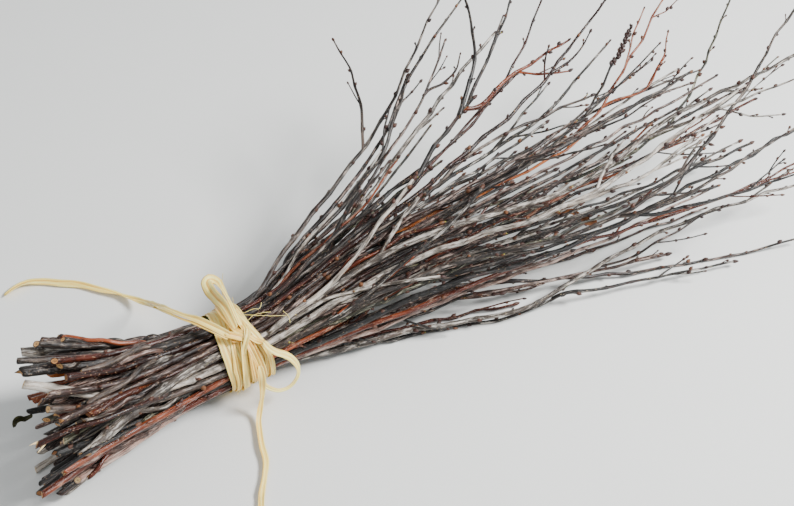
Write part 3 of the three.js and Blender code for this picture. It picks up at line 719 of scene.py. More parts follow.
def growTwig(points, radii, rng, sides=None, end="cut", gap=None, knobbly=1.0, tint=None, kink=1.0):
    # a bark tube along the points, with the places of its joints
    sides = sides or growth["sides"]
    step = growth["step"] * mm
    line = smoothLine(points, step)
    rough = steps(np.asarray(points, float))
    radius = np.interp(np.linspace(0, rough[-1], len(line)), rough, radii)
    at = steps(line)
    length = at[-1]
    along, side, up = framesAlong(line)
    joints = jointsOf(length, rng, gap or growth["jointGap"])
    first = rng.uniform(0, 6.28)
    turns = np.arange(len(joints)) * math.pi * rng.uniform(0.86, 1.0)
    angles = first + turns + rng.uniform(-0.5, 0.5, len(joints))
    calm = calmNear(line[:, 0])
    late = at / length
    if len(joints) > 1:
        bend = growth["kink"] * mm * kink * rng.uniform(0.4, 1.3, len(joints))
        sideways = np.interp(at, joints, np.cos(angles) * bend)
        upwards = np.interp(at, joints, np.sin(angles) * bend)
        soften = np.array([0.25, 0.5, 0.25])
        for shift, way in ((sideways, side), (upwards, up)):
            padded = np.concatenate((shift[:1], shift, shift[-1:]))
            bent = np.convolve(padded, soften, "valid") * calm * (0.5 + 0.8 * late)
            line = line - way * bent[:, None]
    drift = np.linspace(0, length, max(3, int(length / (growth["wanderEvery"] * mm)) + 1))
    for way in (side, up):
        turns = np.interp(at, drift, rng.uniform(-1, 1, len(drift)) * growth["wander"] * mm)
        hold = np.minimum(1, at / (30 * mm))
        line = line + way * (turns * calm * hold * kink)[:, None]
    along, side, up = framesAlong(line)
    lumps = np.linspace(0, length, max(3, int(length / (growth["lumpEvery"] * mm)) + 1))
    lumpy = np.interp(at, lumps, rng.uniform(-1, 1, len(lumps)))
    radius = radius * (1 + growth["lump"] * knobbly * lumpy)
    nearJoint = np.zeros(len(line))
    if len(joints):
        fromJoint = np.abs(at[:, None] - joints[None]).min(1)
        nearJoint = np.exp(-((fromJoint / (growth["swellingLength"] * mm)) ** 2))
    radius = radius * (1 + growth["swelling"] * nearJoint)
    theta = np.arange(sides) * 2 * math.pi / sides
    profile = np.ones((len(line), sides))
    for lobes, amount in growth["lobes"]:
        turn = np.interp(at, drift, rng.uniform(0, 6.28, len(drift)))
        profile += amount * knobbly * np.cos(lobes * theta[None] + turn[:, None])
    for joint, angle in zip(joints, angles):
        close = np.exp(-(((at - joint) / (growth["budSeatLength"] * mm)) ** 2))
        profile += growth["budSeat"] * close[:, None] * np.clip(np.cos(theta[None] - angle), 0, 1) ** 2
    profile += rng.uniform(-growth["rough"], growth["rough"], profile.shape) * knobbly
    spread = radius[:, None] * profile
    line[:, 2] = np.maximum(line[:, 2], spread.max(axis=1) + 0.1 * mm)  # nothing below the table
    slope = rng.uniform(*growth["cutSlant"])
    lean = rng.uniform(0, 6.28)
    slide = np.cos(theta - lean) * slope if end == "cut" else rng.uniform(*growth["snapSlant"], sides)
    fade = np.clip(1 - at / (3.4 * step), 0, 1)
    pushed = fade[:, None] * slide[None] * radius[0]
    cosine, sine = np.cos(theta), np.sin(theta)

    def ring(row, scale, push):
        flat = side[row] * cosine[:, None] + up[row] * sine[:, None]
        return line[row] + flat * (spread[row] * scale)[:, None] + along[row] * push[:, None]

    rows = [ring(i, 1.0, pushed[i]) for i in range(len(line))]
    space = [
        np.stack((np.full(sides, at[i]) + pushed[i], spread[i] * cosine, spread[i] * sine), axis=1)
        for i in range(len(line))
    ]
    # the cut end: two rings inside the first one, and its middle
    inside = []
    for scale, dip in ((0.8, 0.0), (0.42, 0.12), (0.0, 0.05)):
        push = pushed[0] * scale + dip * mm
        if end != "cut":
            push = push + rng.uniform(-0.5, 0.7, sides) * mm * scale
        if scale == 0:
            push = np.full(sides, push.mean())
        inside.append(ring(0, scale, push))
    capSpace = [
        np.stack((push * 0, spread[0] * scale * cosine, spread[0] * scale * sine), axis=1)
        for scale in (0.8, 0.42)
    ]
    tip = line[-1] + along[-1] * radius[-1] * 0.8
    count = len(rows)
    vertices = rows + inside[:2] + [inside[2][:1], tip[None]]
    spaces = space + capSpace + [np.zeros((1, 3)), np.array([[at[-1], 0, 0]])]
    faces, slots = [], []
    for i in range(count - 1):
        for j in range(sides):
            k = (j + 1) % sides
            faces.append((i * sides + j, i * sides + k, (i + 1) * sides + k, (i + 1) * sides + j))
            slots.append(0)
    last = (count - 1) * sides
    a, b, centre = last + sides, last + 2 * sides, last + 3 * sides
    for j in range(sides):
        k = (j + 1) % sides
        faces += [(k, j, a + j, a + k), (a + k, a + j, b + j, b + k), (b + k, b + j, centre)]
        faces.append((last + j, last + k, centre + 1))
        slots += [0, 1, 1, 0]
    if tint is None:
        tint = rng.uniform(0, 1)
    share = np.concatenate((np.repeat(late, sides), np.zeros(2 * sides + 1), [1.0]))
    joint = np.concatenate((np.repeat(nearJoint, sides), np.zeros(2 * sides + 2)))
    tints = np.stack((np.full(len(share), tint), share, joint), axis=1)
    space = np.concatenate(spaces) + np.array([rng.uniform(0, 9), 0, 0])
    outs = []
    for joint, angle in zip(joints, angles):
        row = int(np.argmin(np.abs(at - joint)))
        outward = side[row] * math.cos(angle) + up[row] * math.sin(angle)
        outs.append({
            "spot": line[row], "outward": outward, "along": along[row],
            "radius": radius[row], "late": late[row], "left": length - at[row],
        })
    return {
        "vertices": np.concatenate(vertices), "faces": faces, "slots": slots, "space": space,
        "tints": tints, "joints": outs, "line": line, "radius": radius, "along": along, "tint": tint,
    }


def merged(grown):
    # several grown twigs as one list of vertices, faces and so on
    total = {"vertices": [], "faces": [], "slots": [], "space": [], "tints": []}
    start = 0
    for one in grown:
        total["vertices"].append(one["vertices"])
        total["space"].append(one["space"])
        total["tints"].append(one["tints"])
        total["slots"] += one["slots"]
        total["faces"] += [tuple(i + start for i in face) for face in one["faces"]]
        start += len(one["vertices"])
    for key in ("vertices", "space", "tints"):
        total[key] = np.concatenate(total[key])
    return total


def twigPiece(name, grown, slot, nodes=()):
    total = merged(grown)
    finishes = [barkMaterials[slot], cutWood]
    piece = newPiece(name, total["vertices"], total["faces"], finishes, total["slots"])
    addAttribute(piece, "barkSpace", total["space"])
    addAttribute(piece, "barkTint", total["tints"])
    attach(piece, "root")
    if nodes:
        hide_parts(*nodes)
    return piece


# what grows at the joints
dressing = {
    "aslant": (0.3, 0.65),  # radians off the twig
    "shootFrom": 0.36,  # side shoots only past this share of a twig
    "shootShare": 0.1,
    "shootLength": (14, 52),
    "shootGirth": (0.5, 0.72),  # as a share of the twig's
    "shootGap": (6, 13),
    "spurShare": 0.2,
    "spurLength": (2.4, 6.0),
    "spurBud": (1.6, 2.8),
    "budShare": 0.8,
    "budLength": (1.5, 3.3),
    "tipBud": (2.8, 4.8),
    "budGirth": {"side": 0.37, "spur": 0.36, "tip": 0.27},  # as a share of its length
    "scarShare": 0.07,
    "clear": 0.4,  # kept above the table
}


def dressTwig(grown, rng, quiet=None, depth=0, lush=1.0):
    # buds, spurs and scars are kept for later, side shoots come back as grown twigs
    shoots = []

    def addBud(spot, way, size, kind):
        budPoints.append((spot, way, size, dressing["budGirth"][kind], rng.uniform()))

    for joint in grown["joints"]:
        x = joint["spot"][0]
        if quiet and quiet[0] < x < quiet[1]:
            continue
        if calmNear(x) < 0.08:
            continue
        radius, late = joint["radius"], joint["late"]
        chance = rng.uniform(0, 1)
        aslant = rng.uniform(*dressing["aslant"])
        outward = joint["outward"].copy()
        if joint["spot"][2] < 12 * mm:
            outward = unit(np.array([outward[0], outward[1], abs(outward[2])]))
        heading = joint["along"] * math.cos(aslant) + outward * math.sin(aslant)
        surface = joint["spot"] + outward * radius * 0.85
        outdoors = late > dressing["shootFrom"] and depth < 2 and joint["left"] > 14 * mm
        shootShare = dressing["shootShare"] * lush
        if outdoors and chance < shootShare:
            reach = rng.uniform(*dressing["shootLength"]) * mm * (1.0 if depth == 0 else 0.5)
            reach = min(reach, 1.2 * joint["left"])
            girth = max(0.55 * mm, radius * rng.uniform(*dressing["shootGirth"]))
            curl = joint["along"] * reach
            way = [joint["spot"] + heading * reach * share + curl * bow
                   for share, bow in ((0, 0), (0.3, 0.0), (0.62, 0.06), (0.85, 0.17))]
            way = [np.array([x, y, max(z, girth + dressing["clear"] * mm)]) for x, y, z in way]
            girth = np.linspace(girth, girth * 0.72, len(way))
            shoot = growTwig(
                way, girth, rng, sides=6, gap=dressing["shootGap"], tint=grown["tint"], kink=0.6
            )
            shoots.append(shoot)
            shoots += dressTwig(shoot, rng, depth=depth + 1, lush=lush)
        elif chance < shootShare + dressing["spurShare"] * (0.35 + late):
            size = rng.uniform(*dressing["spurLength"]) * mm * (1 if late > 0.35 else 0.7)
            girth = max(0.45 * mm, radius * 0.4)
            spurPoints.append((surface - outward * radius * 0.3, heading, size, girth, rng.uniform()))
            end = surface + heading * size * 0.86
            addBud(end, heading, rng.uniform(*dressing["spurBud"]) * mm, "spur")
        elif chance < shootShare + dressing["spurShare"] + dressing["budShare"] * (0.45 + 0.55 * late):
            size = rng.uniform(*dressing["budLength"]) * mm * (0.95 + 0.3 * min(1, radius / mm))
            close = joint["along"] * 0.86 + outward * 0.5
            addBud(surface - outward * 0.15 * mm, close, size, "side")
        elif chance > 1 - dressing["scarShare"] and late < 0.7:
            upright = outward * 0.9 + joint["along"] * 0.4
            scarPoints.append((surface, upright, radius, radius * 0.62, rng.uniform()))
    tipSize = rng.uniform(*dressing["tipBud"]) * mm * min(1.3, 0.5 + 0.75 * grown["radius"][-1] / mm)
    tip = grown["line"][-1] - grown["along"][-1] * 0.2 * mm
    addBud(tip, grown["along"][-1] * np.array([1, 1, 0.3]), tipSize, "tip")
    return shoots


# room between the twigs
thicket = {
    "gap": 0.1,
    "rounds": 14,
    "share": 0.6,  # of what is lacking, pushed in one round
    "push": 1.2,  # at most
    "reach": 23.6,  # no twig lies further out than this under the raffia
    "every": 3.0,
}
takenSpots, takenRadii = [], []


def fillRoom(line, radii):
    takenSpots.extend(line)
    takenRadii.extend(radii)


def stayClear(line, radii):
    # pushes a new twig off the ones that are already there, and keeps it inside the tie
    line = smoothLine(line, thicket["every"] * mm)
    radii = np.interp(np.linspace(0, 1, len(line)), np.linspace(0, 1, len(radii)), radii)
    tree = KDTree(len(takenSpots))
    for i, spot in enumerate(takenSpots):
        tree.insert(spot, i)
    tree.balance()
    widest = max(takenRadii)
    axis = np.array(place(0, 0, tie["height"])[:])
    fromTie = (line[:, 0] - axis[0]) / mm
    held = (fromTie > growth["calm"][0] - 3) & (fromTie < growth["calm"][1] + 3)
    for _ in range(thicket["rounds"]):
        push = np.zeros_like(line)
        for i, spot in enumerate(line):
            within = radii[i] + widest + thicket["gap"] * mm
            for other, index, distance in tree.find_range(spot, within):
                lack = radii[i] + takenRadii[index] + thicket["gap"] * mm - distance
                if lack > 0:
                    away = (spot - np.array(other)) * np.array([0.1, 1, 1])
                    push[i] += away / max(np.linalg.norm(away), 1e-6) * lack * thicket["share"]
        size = np.linalg.norm(push, axis=1, keepdims=True)
        push *= np.minimum(1, thicket["push"] * mm / np.maximum(size, 1e-9))
        line = line + push
        padded = np.concatenate((line[:1], line, line[-1:]))
        line = 0.6 * line + 0.2 * (padded[:-2] + padded[2:])
        line[:, 2] = np.maximum(line[:, 2], radii + 0.1 * mm)
        out = line[:, 1:] - axis[1:]
        far = np.linalg.norm(out, axis=1, keepdims=True)
        most = (thicket["reach"] * mm - radii)[:, None]
        inside = axis[1:] + out * np.minimum(1, most / np.maximum(far, 1e-9))
        line[held, 1:] = inside[held]
    fillRoom(line, radii)
    return line, radii


# the outer twigs and their forks, each in place of its CAD tube
outerLines = {}
for index, node in enumerate(twigNodes):
    rng = np.random.default_rng(100 + index)
    spots, radii = tubes[node]
    slot = slotOf[node]
    knobbly = 1.25 if slot in ("grey_bark", "dark_bark") else 0.8
    twig = growTwig(spots, radii, rng, knobbly=knobbly, end="snap" if index % 6 == 4 else "cut")
    outerLines[node] = twig
    fillRoom(twig["line"], twig["radius"])
    twigPiece(node.replace("_", ""), [twig] + dressTwig(twig, rng), slot, [node])


def distances(twig, spot):
    return np.linalg.norm(twig["line"] - spot, axis=1)


# a fork starts inside the twig nearest to its foot
for index, node in enumerate(forkNodes):
    rng = np.random.default_rng(300 + index)
    spots, radii = tubes[node]
    parent = min(outerLines.values(), key=lambda twig: distances(twig, spots[0]).min())
    row = int(np.argmin(distances(parent, spots[0])))
    foot = parent["line"][max(0, row - 2)]
    spots = np.concatenate((foot[None], spots))
    radii = np.concatenate((radii[:1] * 1.1, radii))
    twig = growTwig(spots, radii, rng, sides=8, tint=parent["tint"], gap=(11, 22))
    fillRoom(twig["line"][6:], twig["radius"][6:])
    twigPiece(node.replace("_", ""), [twig] + dressTwig(twig, rng, lush=1.3), slotOf[node], [node])
print("outer twigs and forks")


# the inner twigs, in place of the sheaf and its prongs
inner = {
    "core": 44,  # fill the sheaf and follow its prongs
    "between": 32,  # lie under the outer twigs and come up between them
    "radius": (1.15, 1.9),
    "fill": 0.95,  # how much of the sheaf's radius they fill
    "taper": 0.5,
    "buttSwell": 0.15,
    "butt": (-119.0, 44.5),  # where the cut ends are, along the bundle and up
    "buttScatter": 11.0,
    "spread": (5.0, 20.0),
    "reach": (0.2, 0.75),
    "betweenReach": (0.35, 0.8),
    "betweenTie": (-62.0, -22.0, -6.0, 10.0),  # where they are led through the tie
    "betweenFar": (18.0, 6.5),  # from its middle, and how much more before it
    "quiet": (-100, 60),  # no buds along here
    "betweenQuiet": (-110, 20),
}
innerBarks = "mauve dark grey red mauve dark mauve green grey dark mauve orange dark grey".split()


def buttSpot(rng, far, angle):
    # a cut end on the fan, far from its middle at an angle from the front
    cutX, cutZ = inner["butt"]
    y, z = -math.cos(angle) * far, math.sin(angle) * far
    x = cutX + 0.3 * z + 0.15 * y + rng.uniform(-1, 1) * inner["buttScatter"]
    return np.array(place(x, y, max(3.0, cutZ + z))[:])


def coreWay(k, rng, room):
    # through the sheaf, and then along the nearest prong that has room
    reach = math.sqrt((k + 0.5) / inner["core"]) * inner["fill"]
    angle = k * 2.39996
    spots = [buttSpot(rng, 42 * reach, angle + rng.uniform(-0.3, 0.3))]
    for x, y, z, radius in sheafRows[2:6]:
        out = radius * reach
        spots.append(np.array([x, y - out * math.cos(angle), z + out * math.sin(angle)]))
    free = [i for i in range(len(prongTubes)) if room[i] > 0]
    chosen = min(free, key=lambda i: np.linalg.norm((prongTubes[i][0][0] - spots[-1])[1:]))
    room[chosen] -= 1
    first = room[chosen] == 2
    line = smoothLine(prongTubes[chosen][0], 40 * mm)
    total = steps(line)[-1]
    stop = 1.0 if first else min(1.0, rng.uniform(*inner["reach"]))
    cut = line[: max(2, int(round(len(line) * stop)))]
    along, side, up = framesAlong(cut)
    aside = rng.uniform(0, 6.28)
    wide = 0.0 if first else rng.uniform(*inner["spread"])
    wide = (1.5 * (not first) + wide * (steps(cut) / total) ** 1.2) * mm
    outward = side * math.cos(aside) + up * math.sin(aside)
    return np.concatenate((spots, cut + outward * wide[:, None]))


def betweenWay(k, rng):
    # under the outer twigs at the tie, and then midway between two of them in the crown
    turn = 2 * math.pi * (k + rng.uniform(-0.3, 0.3)) / inner["between"] - 0.9
    spots = [buttSpot(rng, rng.uniform(33, 44), turn + rng.uniform(-0.45, 0.45))]
    far, more = inner["betweenFar"]
    enter = inner["betweenTie"][1]
    for x in inner["betweenTie"]:
        before = max(0.0, enter - x)
        height = tie["height"] + (inner["butt"][1] - tie["height"]) * (before / 97)
        out = far + more * (before / 40)
        spots.append(np.array(place(x, -math.cos(turn) * out, height + math.sin(turn) * out)[:]))
    lines = [one["line"] for one in outerLines.values()]
    inTie = [line[np.argmin(np.abs(line[:, 0] - tieX))] for line in lines]
    near = np.argsort([np.linalg.norm(spot[1:] - spots[-1][1:]) for spot in inTie])
    one, two = (lines[i] for i in near[rng.choice(7, 2, replace=False)])
    share = rng.uniform(0.15, 0.85)
    last = min(one[-1, 0], two[-1, 0]) if rng.uniform() < 0.55 else max(one[-1, 0], two[-1, 0])
    first = place(70, 0, 0).x
    for x in np.arange(first, first + (last - first) * rng.uniform(*inner["betweenReach"]), 38 * mm):
        ends = [np.array([x] + [np.interp(x, line[:, 0], line[:, axis]) for axis in (1, 2)])
                for line in (one, two)]
        spots.append(ends[0] * (1 - share) + ends[1] * share)
    return np.array(spots)


prongRoom = [3] * len(prongTubes)
grownInner = {}
for number in range(inner["core"] + inner["between"]):
    rng = np.random.default_rng(500 + number)
    isCore = number < inner["core"]
    way = coreWay(number, rng, prongRoom) if isCore else betweenWay(number - inner["core"], rng)
    radius = rng.uniform(*inner["radius"]) * mm * (1.08 if isCore else 1.0)
    line = smoothLine(way, 12 * mm)
    late = np.clip((line[:, 0] - tieX) / (line[-1, 0] - tieX), 0, 1)
    early = np.clip((tieX - line[:, 0]) / 0.12, 0, 1)
    radii = radius * (1 - inner["taper"] * late) * (1 + inner["buttSwell"] * early)
    line, radii = stayClear(line, radii)
    twig = growTwig(line, radii, rng, sides=8, end="snap" if number % 7 == 3 else "cut")
    quiet = [place(x, 0, 0).x for x in inner["quiet" if isCore else "betweenQuiet"]]
    shoots = dressTwig(twig, rng, quiet=quiet)
    grownInner.setdefault(innerBarks[number % len(innerBarks)], []).extend([twig] + shoots)
for bark, grown in grownInner.items():
    twigPiece("inner" + bark.capitalize(), grown, bark + "_bark")
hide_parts("inner_twigs")

# the twigs that the photo singles out on top of the others: bark, radius at the foot, and places
topTwigs = {
    "topOrange": ("orange_bark", 1.05, [
        (56.1, -26.9, 51.9), (70, -27.3, 56.5), (84.5, -27, 60.1), (99.1, -24.6, 63.9),
        (112.7, -23.6, 69.8),
    ]),
    "topPaleLow": ("grey_bark", 1.3, [
        (22, -13, 47), (40.5, -16, 54), (54.3, -16.9, 57.5), (68.1, -20.4, 58.5), (81.7, -24.8, 59.7),
        (95.1, -29.8, 60.6), (108, -35.8, 61.8), (121.3, -41.6, 62.2),
    ]),
    "topPaleLong": ("grey_bark", 1.6, [
        (14, -15, 49), (34.3, -15.9, 59.2), (48.2, -13.3, 60), (61.3, -11.5, 63.3),
        (74.3, -7.6, 66.9), (87.8, -1.5, 69.3), (100.5, 3.8, 73.7), (112.5, 7.6, 79.7),
        (126.4, 13.3, 82.8), (139.8, 17.9, 87.2),
    ]),
    "topPaleUpper": ("grey_bark", 1.4, [
        (40, -24, 44), (56.7, -27.6, 50.5), (69.8, -28.3, 56.4), (83.3, -27.2, 60.3),
        (97.2, -25, 63.6), (110.3, -24.1, 68.7), (124.9, -21.8, 71), (140.4, -19.1, 72),
        (154.6, -14.3, 75.9), (179.1, -0.8, 76),
    ]),
    "topDark": ("dark_bark", 1.8, [
        (15, 3, 52), (40.2, 4.5, 60.1), (53.3, 6.7, 64.9), (67.2, 10.8, 68), (80.8, 14.6, 72.2),
        (95.2, 16.4, 75), (109.1, 16.2, 79), (126.8, 23.6, 80), (139.3, 22, 84.1),
    ]),
    "cutRed": ("red_bark", 1.9, [
        (-136.2, -33.2, 68.6), (-126, -33.8, 69.4), (-112.4, -34, 69), (-100.7, -36, 68.7),
        (-88.1, -34.2, 65.1), (-75.2, -31, 60), (-62.3, -27, 54),
    ]),
    "cutDark": ("dark_bark", 1.4, [
        (-142.8, -46.9, 54.4), (-130.6, -46.1, 56.2), (-116.9, -45.6, 57.4), (-100, -42, 54),
        (-84, -36, 49),
    ]),
}
for number, (name, (slot, radius, way)) in enumerate(topTwigs.items()):
    rng = np.random.default_rng(700 + number)
    way = np.array([place(*spot)[:] for spot in way])
    twig = growTwig(way, radius * mm * np.linspace(1, 0.72, len(way)), rng, sides=9, kink=0.7)
    twigPiece(name, [twig] + dressTwig(twig, rng, lush=0), slot)


# Geometry Nodes: buds, spurs and branch scars stand on points that carry their own size and direction
class NodeRig:
    # builds one Geometry Nodes tree with named inputs
    def __init__(self, name):
        self.group = bpy.data.node_groups.new(name, "GeometryNodeTree")
        self.group.interface.new_socket("Geometry", in_out="INPUT", socket_type="NodeSocketGeometry")
        self.group.interface.new_socket("Geometry", in_out="OUTPUT", socket_type="NodeSocketGeometry")
        self.start = self.group.nodes.new("NodeGroupInput")
        self.end = self.group.nodes.new("NodeGroupOutput")
        self.values = {}

    def number(self, name, value, kind="NodeSocketFloat"):
        socket = self.group.interface.new_socket(name, in_out="INPUT", socket_type=kind)
        socket.default_value = value
        self.values[socket.identifier] = value
        return self.start.outputs[name]

    def add(self, kind, inputs=None, **settings):
        return addNode(self.group, kind, inputs or {}, **settings)

    def named(self, name, kind="FLOAT"):
        return self.add("GeometryNodeInputNamedAttribute", {0: name}, data_type=kind).outputs[0]

    def spindle(self, profile, sides, rows):
        # a closed solid of unit length along Z, whose radius follows the profile from foot to tip
        line = self.add("GeometryNodeCurvePrimitiveLine", {"Start": (0, 0, 0), "End": (0, 0, 1)})
        cut = self.add("GeometryNodeResampleCurve", {"Curve": line.outputs[0], "Count": rows})
        factor = self.add("GeometryNodeSplineParameter").outputs["Factor"]
        shape = self.add("ShaderNodeFloatCurve", {"Value": factor})
        curve = shape.mapping.curves[0]
        while len(curve.points) < len(profile):
            curve.points.new(0.5, 0.5)
        for point, (x, y) in zip(curve.points, profile):
            point.location = (x, y)
        shape.mapping.update()
        inputs = {"Curve": cut.outputs[0], "Radius": shape.outputs[0]}
        sized = self.add("GeometryNodeSetCurveRadius", inputs)
        around = self.add("GeometryNodeCurvePrimitiveCircle", {"Resolution": sides, "Radius": 1.0})
        inputs = {"Curve": sized.outputs[0], "Profile Curve": around.outputs[0], "Fill Caps": True}
        tube = self.add("GeometryNodeCurveToMesh", inputs)
        if "Scale" in tube.inputs:
            self.group.links.new(shape.outputs[0], tube.inputs["Scale"])
        return tube.outputs[0]

    def finish(self, geometry, material):
        real = self.add("GeometryNodeRealizeInstances", {"Geometry": geometry})
        smooth = self.add("GeometryNodeSetShadeSmooth", {"Geometry": real.outputs[0]})
        inputs = {"Geometry": smooth.outputs[0], "Material": material}
        last = self.add("GeometryNodeSetMaterial", inputs)
        self.group.links.new(last.outputs[0], self.end.inputs[0])


def bake(name, rig, carrier):
    # the modifier's result as a plain mesh in an object of its own
    modifier = carrier.modifiers.new("grow", "NODES")
    modifier.node_group = rig.group
    for key, value in rig.values.items():
        modifier[key] = value
    graph = bpy.context.evaluated_depsgraph_get()
    graph.update()
    mesh = bpy.data.meshes.new_from_object(carrier.evaluated_get(graph), depsgraph=graph)
    mesh.name = name
    carrier.modifiers.remove(modifier)
    bpy.data.objects.remove(carrier)
    piece = bpy.data.objects.new(name, mesh)
    bpy.context.scene.collection.objects.link(piece)
    return piece


def pointCarrier(name, points):
    # a mesh of loose points: where, which way, how long, how wide, tint
    carrier = newPiece(name, [p[0] for p in points], [])
    addAttribute(carrier, "heading", [unit(np.asarray(p[1], float)) for p in points])
    addAttribute(carrier, "reach", [p[2] for p in points], "FLOAT")
    addAttribute(carrier, "girth", [p[3] for p in points], "FLOAT")
    addAttribute(carrier, "budTint", [(p[4], 0, 0) for p in points])
    return carrier


def standOn(rig, spindle, seed, wobble):
    # one spindle on each point, turned to its heading and sized by its reach and girth
    heading = rig.named("heading", "FLOAT_VECTOR")
    aim = rig.add("FunctionNodeAlignRotationToVector", {"Vector": heading}, axis="Z")
    limits = {"Min": (-wobble, -wobble, 0), "Max": (wobble, wobble, 6.28)}
    spin = rig.add("FunctionNodeRandomValue", limits, data_type="FLOAT_VECTOR")
    spin.inputs["Seed"].default_value = seed
    turn = rig.add("FunctionNodeEulerToRotation", {0: spin.outputs[0]})
    turns = {0: aim.outputs[0], 1: turn.outputs[0]}
    both = rig.add("FunctionNodeRotateRotation", turns, rotation_space="LOCAL")
    girth, reach = rig.named("girth"), rig.named("reach")
    size = rig.add("ShaderNodeCombineXYZ", {0: girth, 1: girth, 2: reach})
    setting = {
        "Points": rig.start.outputs[0], "Instance": spindle,
        "Rotation": both.outputs[0], "Scale": size.outputs[0],
    }
    return rig.add("GeometryNodeInstanceOnPoints", setting).outputs[0]


def stored(rig, geometry, name):
    # keeps each vertex's place in the unit shape, for the finish
    spot = rig.add("GeometryNodeInputPosition").outputs[0]
    inputs = {"Geometry": geometry, "Name": name, "Value": spot}
    settings = {"data_type": "FLOAT_VECTOR", "domain": "POINT"}
    return rig.add("GeometryNodeStoreNamedAttribute", inputs, **settings).outputs[0]


buds = {
    "profile": [(0.0, 0.7), (0.2, 0.95), (0.4, 1.0), (0.65, 0.74), (0.88, 0.34), (1.0, 0.04)],
    "sides": 7,
    "rows": 7,
    "seed": 4,
    "wobble": 0.12,
}
spurs = {
    "profile": [
        (0.0, 1.0), (0.2, 0.78), (0.4, 0.95), (0.55, 0.72), (0.75, 0.9), (0.92, 0.8), (1.0, 0.4),
    ],
    "sides": 7,
    "rows": 9,
    "seed": 9,
    "wobble": 0.1,
}
scars = {
    "profile": [(0.0, 1.25), (0.5, 1.05), (0.8, 1.0), (0.95, 0.8), (1.0, 0.5)],
    "sides": 9,
    "rows": 6,
    "seed": 3,
    "wobble": 0.1,
}


def growSpindles(name, settings, points, material):
    carrier = pointCarrier(name + "Points", points)
    rig = NodeRig(name)
    sides = rig.number("Sides", settings["sides"], "NodeSocketInt")
    rows = rig.number("Rows", settings["rows"], "NodeSocketInt")
    spindle = stored(rig, rig.spindle(settings["profile"], sides, rows), "budSpace")
    rig.finish(standOn(rig, spindle, settings["seed"], settings["wobble"]), material)
    piece = bake(name, rig, carrier)
    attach(piece, "root")
    return piece


# the shoot tip that is covered in bud scales
scaly = {"twig": "twig_09", "length": 40, "gap": 1.1, "size": 3.6, "girth": 0.34}
scalyTwig = outerLines[scaly["twig"]]
fromEnd = steps(scalyTwig["line"][::-1])[::-1] / mm
for number in range(int(scaly["length"] / scaly["gap"])):
    row = int(np.argmin(np.abs(fromEnd - number * scaly["gap"])))
    along = scalyTwig["along"][row]
    side = unit(np.cross(along, [0, 0, 1]))
    outward = side * math.cos(number * 2.4) + np.cross(side, along) * math.sin(number * 2.4)
    spot = scalyTwig["line"][row] + outward * scalyTwig["radius"][row] * 0.7
    size = scaly["size"] * mm * (0.75 + 0.5 * (number * 0.618 % 1)) * min(1, 0.6 + number * 0.06)
    tint = 0.1 + 0.35 * (number * 0.38 % 1)
    budPoints.append((spot, along * 0.9 + outward * 0.45, size, scaly["girth"], tint))

# splinters at a torn cut end
splinters = {
    "profile": [(0.0, 0.9), (0.4, 1.0), (0.75, 0.6), (1.0, 0.08)],
    "sides": 5,
    "rows": 5,
    "seed": 6,
    "wobble": 0.1,
    "girth": 0.6,
    "colour": rgb(236, 208, 156),
    # places, which way each points, and how long it is
    "spots": [
        ((-132.5, -32.0, 69.0), (-1, -0.1, 0.1), 7.5), ((-132.8, -33.2, 68.2), (-1, 0.25, 0.25), 6.0),
        ((-132.0, -34.0, 67.6), (-1, -0.35, -0.1), 6.5), ((-132.2, -32.8, 67.7), (-1, 0.1, -0.25), 4.5),
    ],
}


def addSplinters():
    wood, _, shader = newMaterial("splinterWood", 0.7, 0.3)
    shader.inputs["Base Color"].default_value = (*splinters["colour"], 1)
    points = [(place(*spot)[:], way, reach * mm, splinters["girth"] * mm, 0.9)
              for spot, way, reach in splinters["spots"]]
    growSpindles("splinters", splinters, points, wood)


def aboveTable(spot, radius):
    # lifts a low bud clear of the table
    return np.array([spot[0], spot[1], max(spot[2], radius + 0.3 * mm)])


addSplinters()
budRows = []
for spot, heading, reach, share, tint in budPoints:
    girth = reach * share
    budRows.append((aboveTable(spot, girth), heading, reach, girth, tint))
growSpindles("buds", buds, budRows, budScales)
growSpindles("spurs", spurs, spurPoints, budScales)
growSpindles("scars", scars, scarPoints, cutWood)
print("buds", len(budPoints), "spurs", len(spurPoints), "scars", len(scarPoints))


# the turns of raffia round the bundle
wrap = {
    "inner": 24.85,
    "outer": 26.6,  # the knot lies on this
    # how far along the bundle the turns reach, at degrees up from the front and on round the back
    "angles": (-92, 0, 25, 47, 75, 102, 130, 160, 200, 268),
    "left": (-17.5, -17.8, -18.7, -18.9, -17.6, -15.5, -13.2, -15, -17, -17.5),
    "right": (9.8, 10.6, 10.8, 8.0, 4.9, 4.6, 4.2, 2.6, 4.5, 9.8),
    # each turn: its share of the way from left to right at the start, front, top and end,
    # its width and how high it lies
    "turns": [
        ((0.10, 0.09, 0.16, 0.10), 5.6, 0.0), ((0.28, 0.27, 0.30, 0.25), 5.4, 0.35),
        ((0.45, 0.44, 0.45, 0.42), 5.4, 0.0), ((0.62, 0.61, 0.60, 0.60), 5.4, 0.35),
        ((0.78, 0.78, 0.76, 0.76), 5.4, 0.0), ((0.92, 0.92, 0.92, 0.90), 4.6, 0.3),
        ((0.20, 0.16, 0.60, 0.35), 3.6, 1.0), ((0.30, 0.36, 0.72, 0.50), 3.8, 1.3),
        ((0.60, 0.54, 0.80, 0.55), 3.4, 1.0), ((0.85, 0.70, 0.88, 0.75), 3.6, 1.35),
        ((0.80, 0.88, 0.86, 0.95), 3.4, 1.0),
    ],
    "step": 3.0,  # degrees
}


def onWrap(x, angle, lift, radius=None):
    # a place round the bundle: how far along it, degrees up from the front, and how high over the turns
    out = (wrap["outer"] if radius is None else radius) + lift
    turn = math.radians(angle)
    return np.array(place(x, -math.cos(turn) * out, tie["height"] + math.sin(turn) * out)[:])


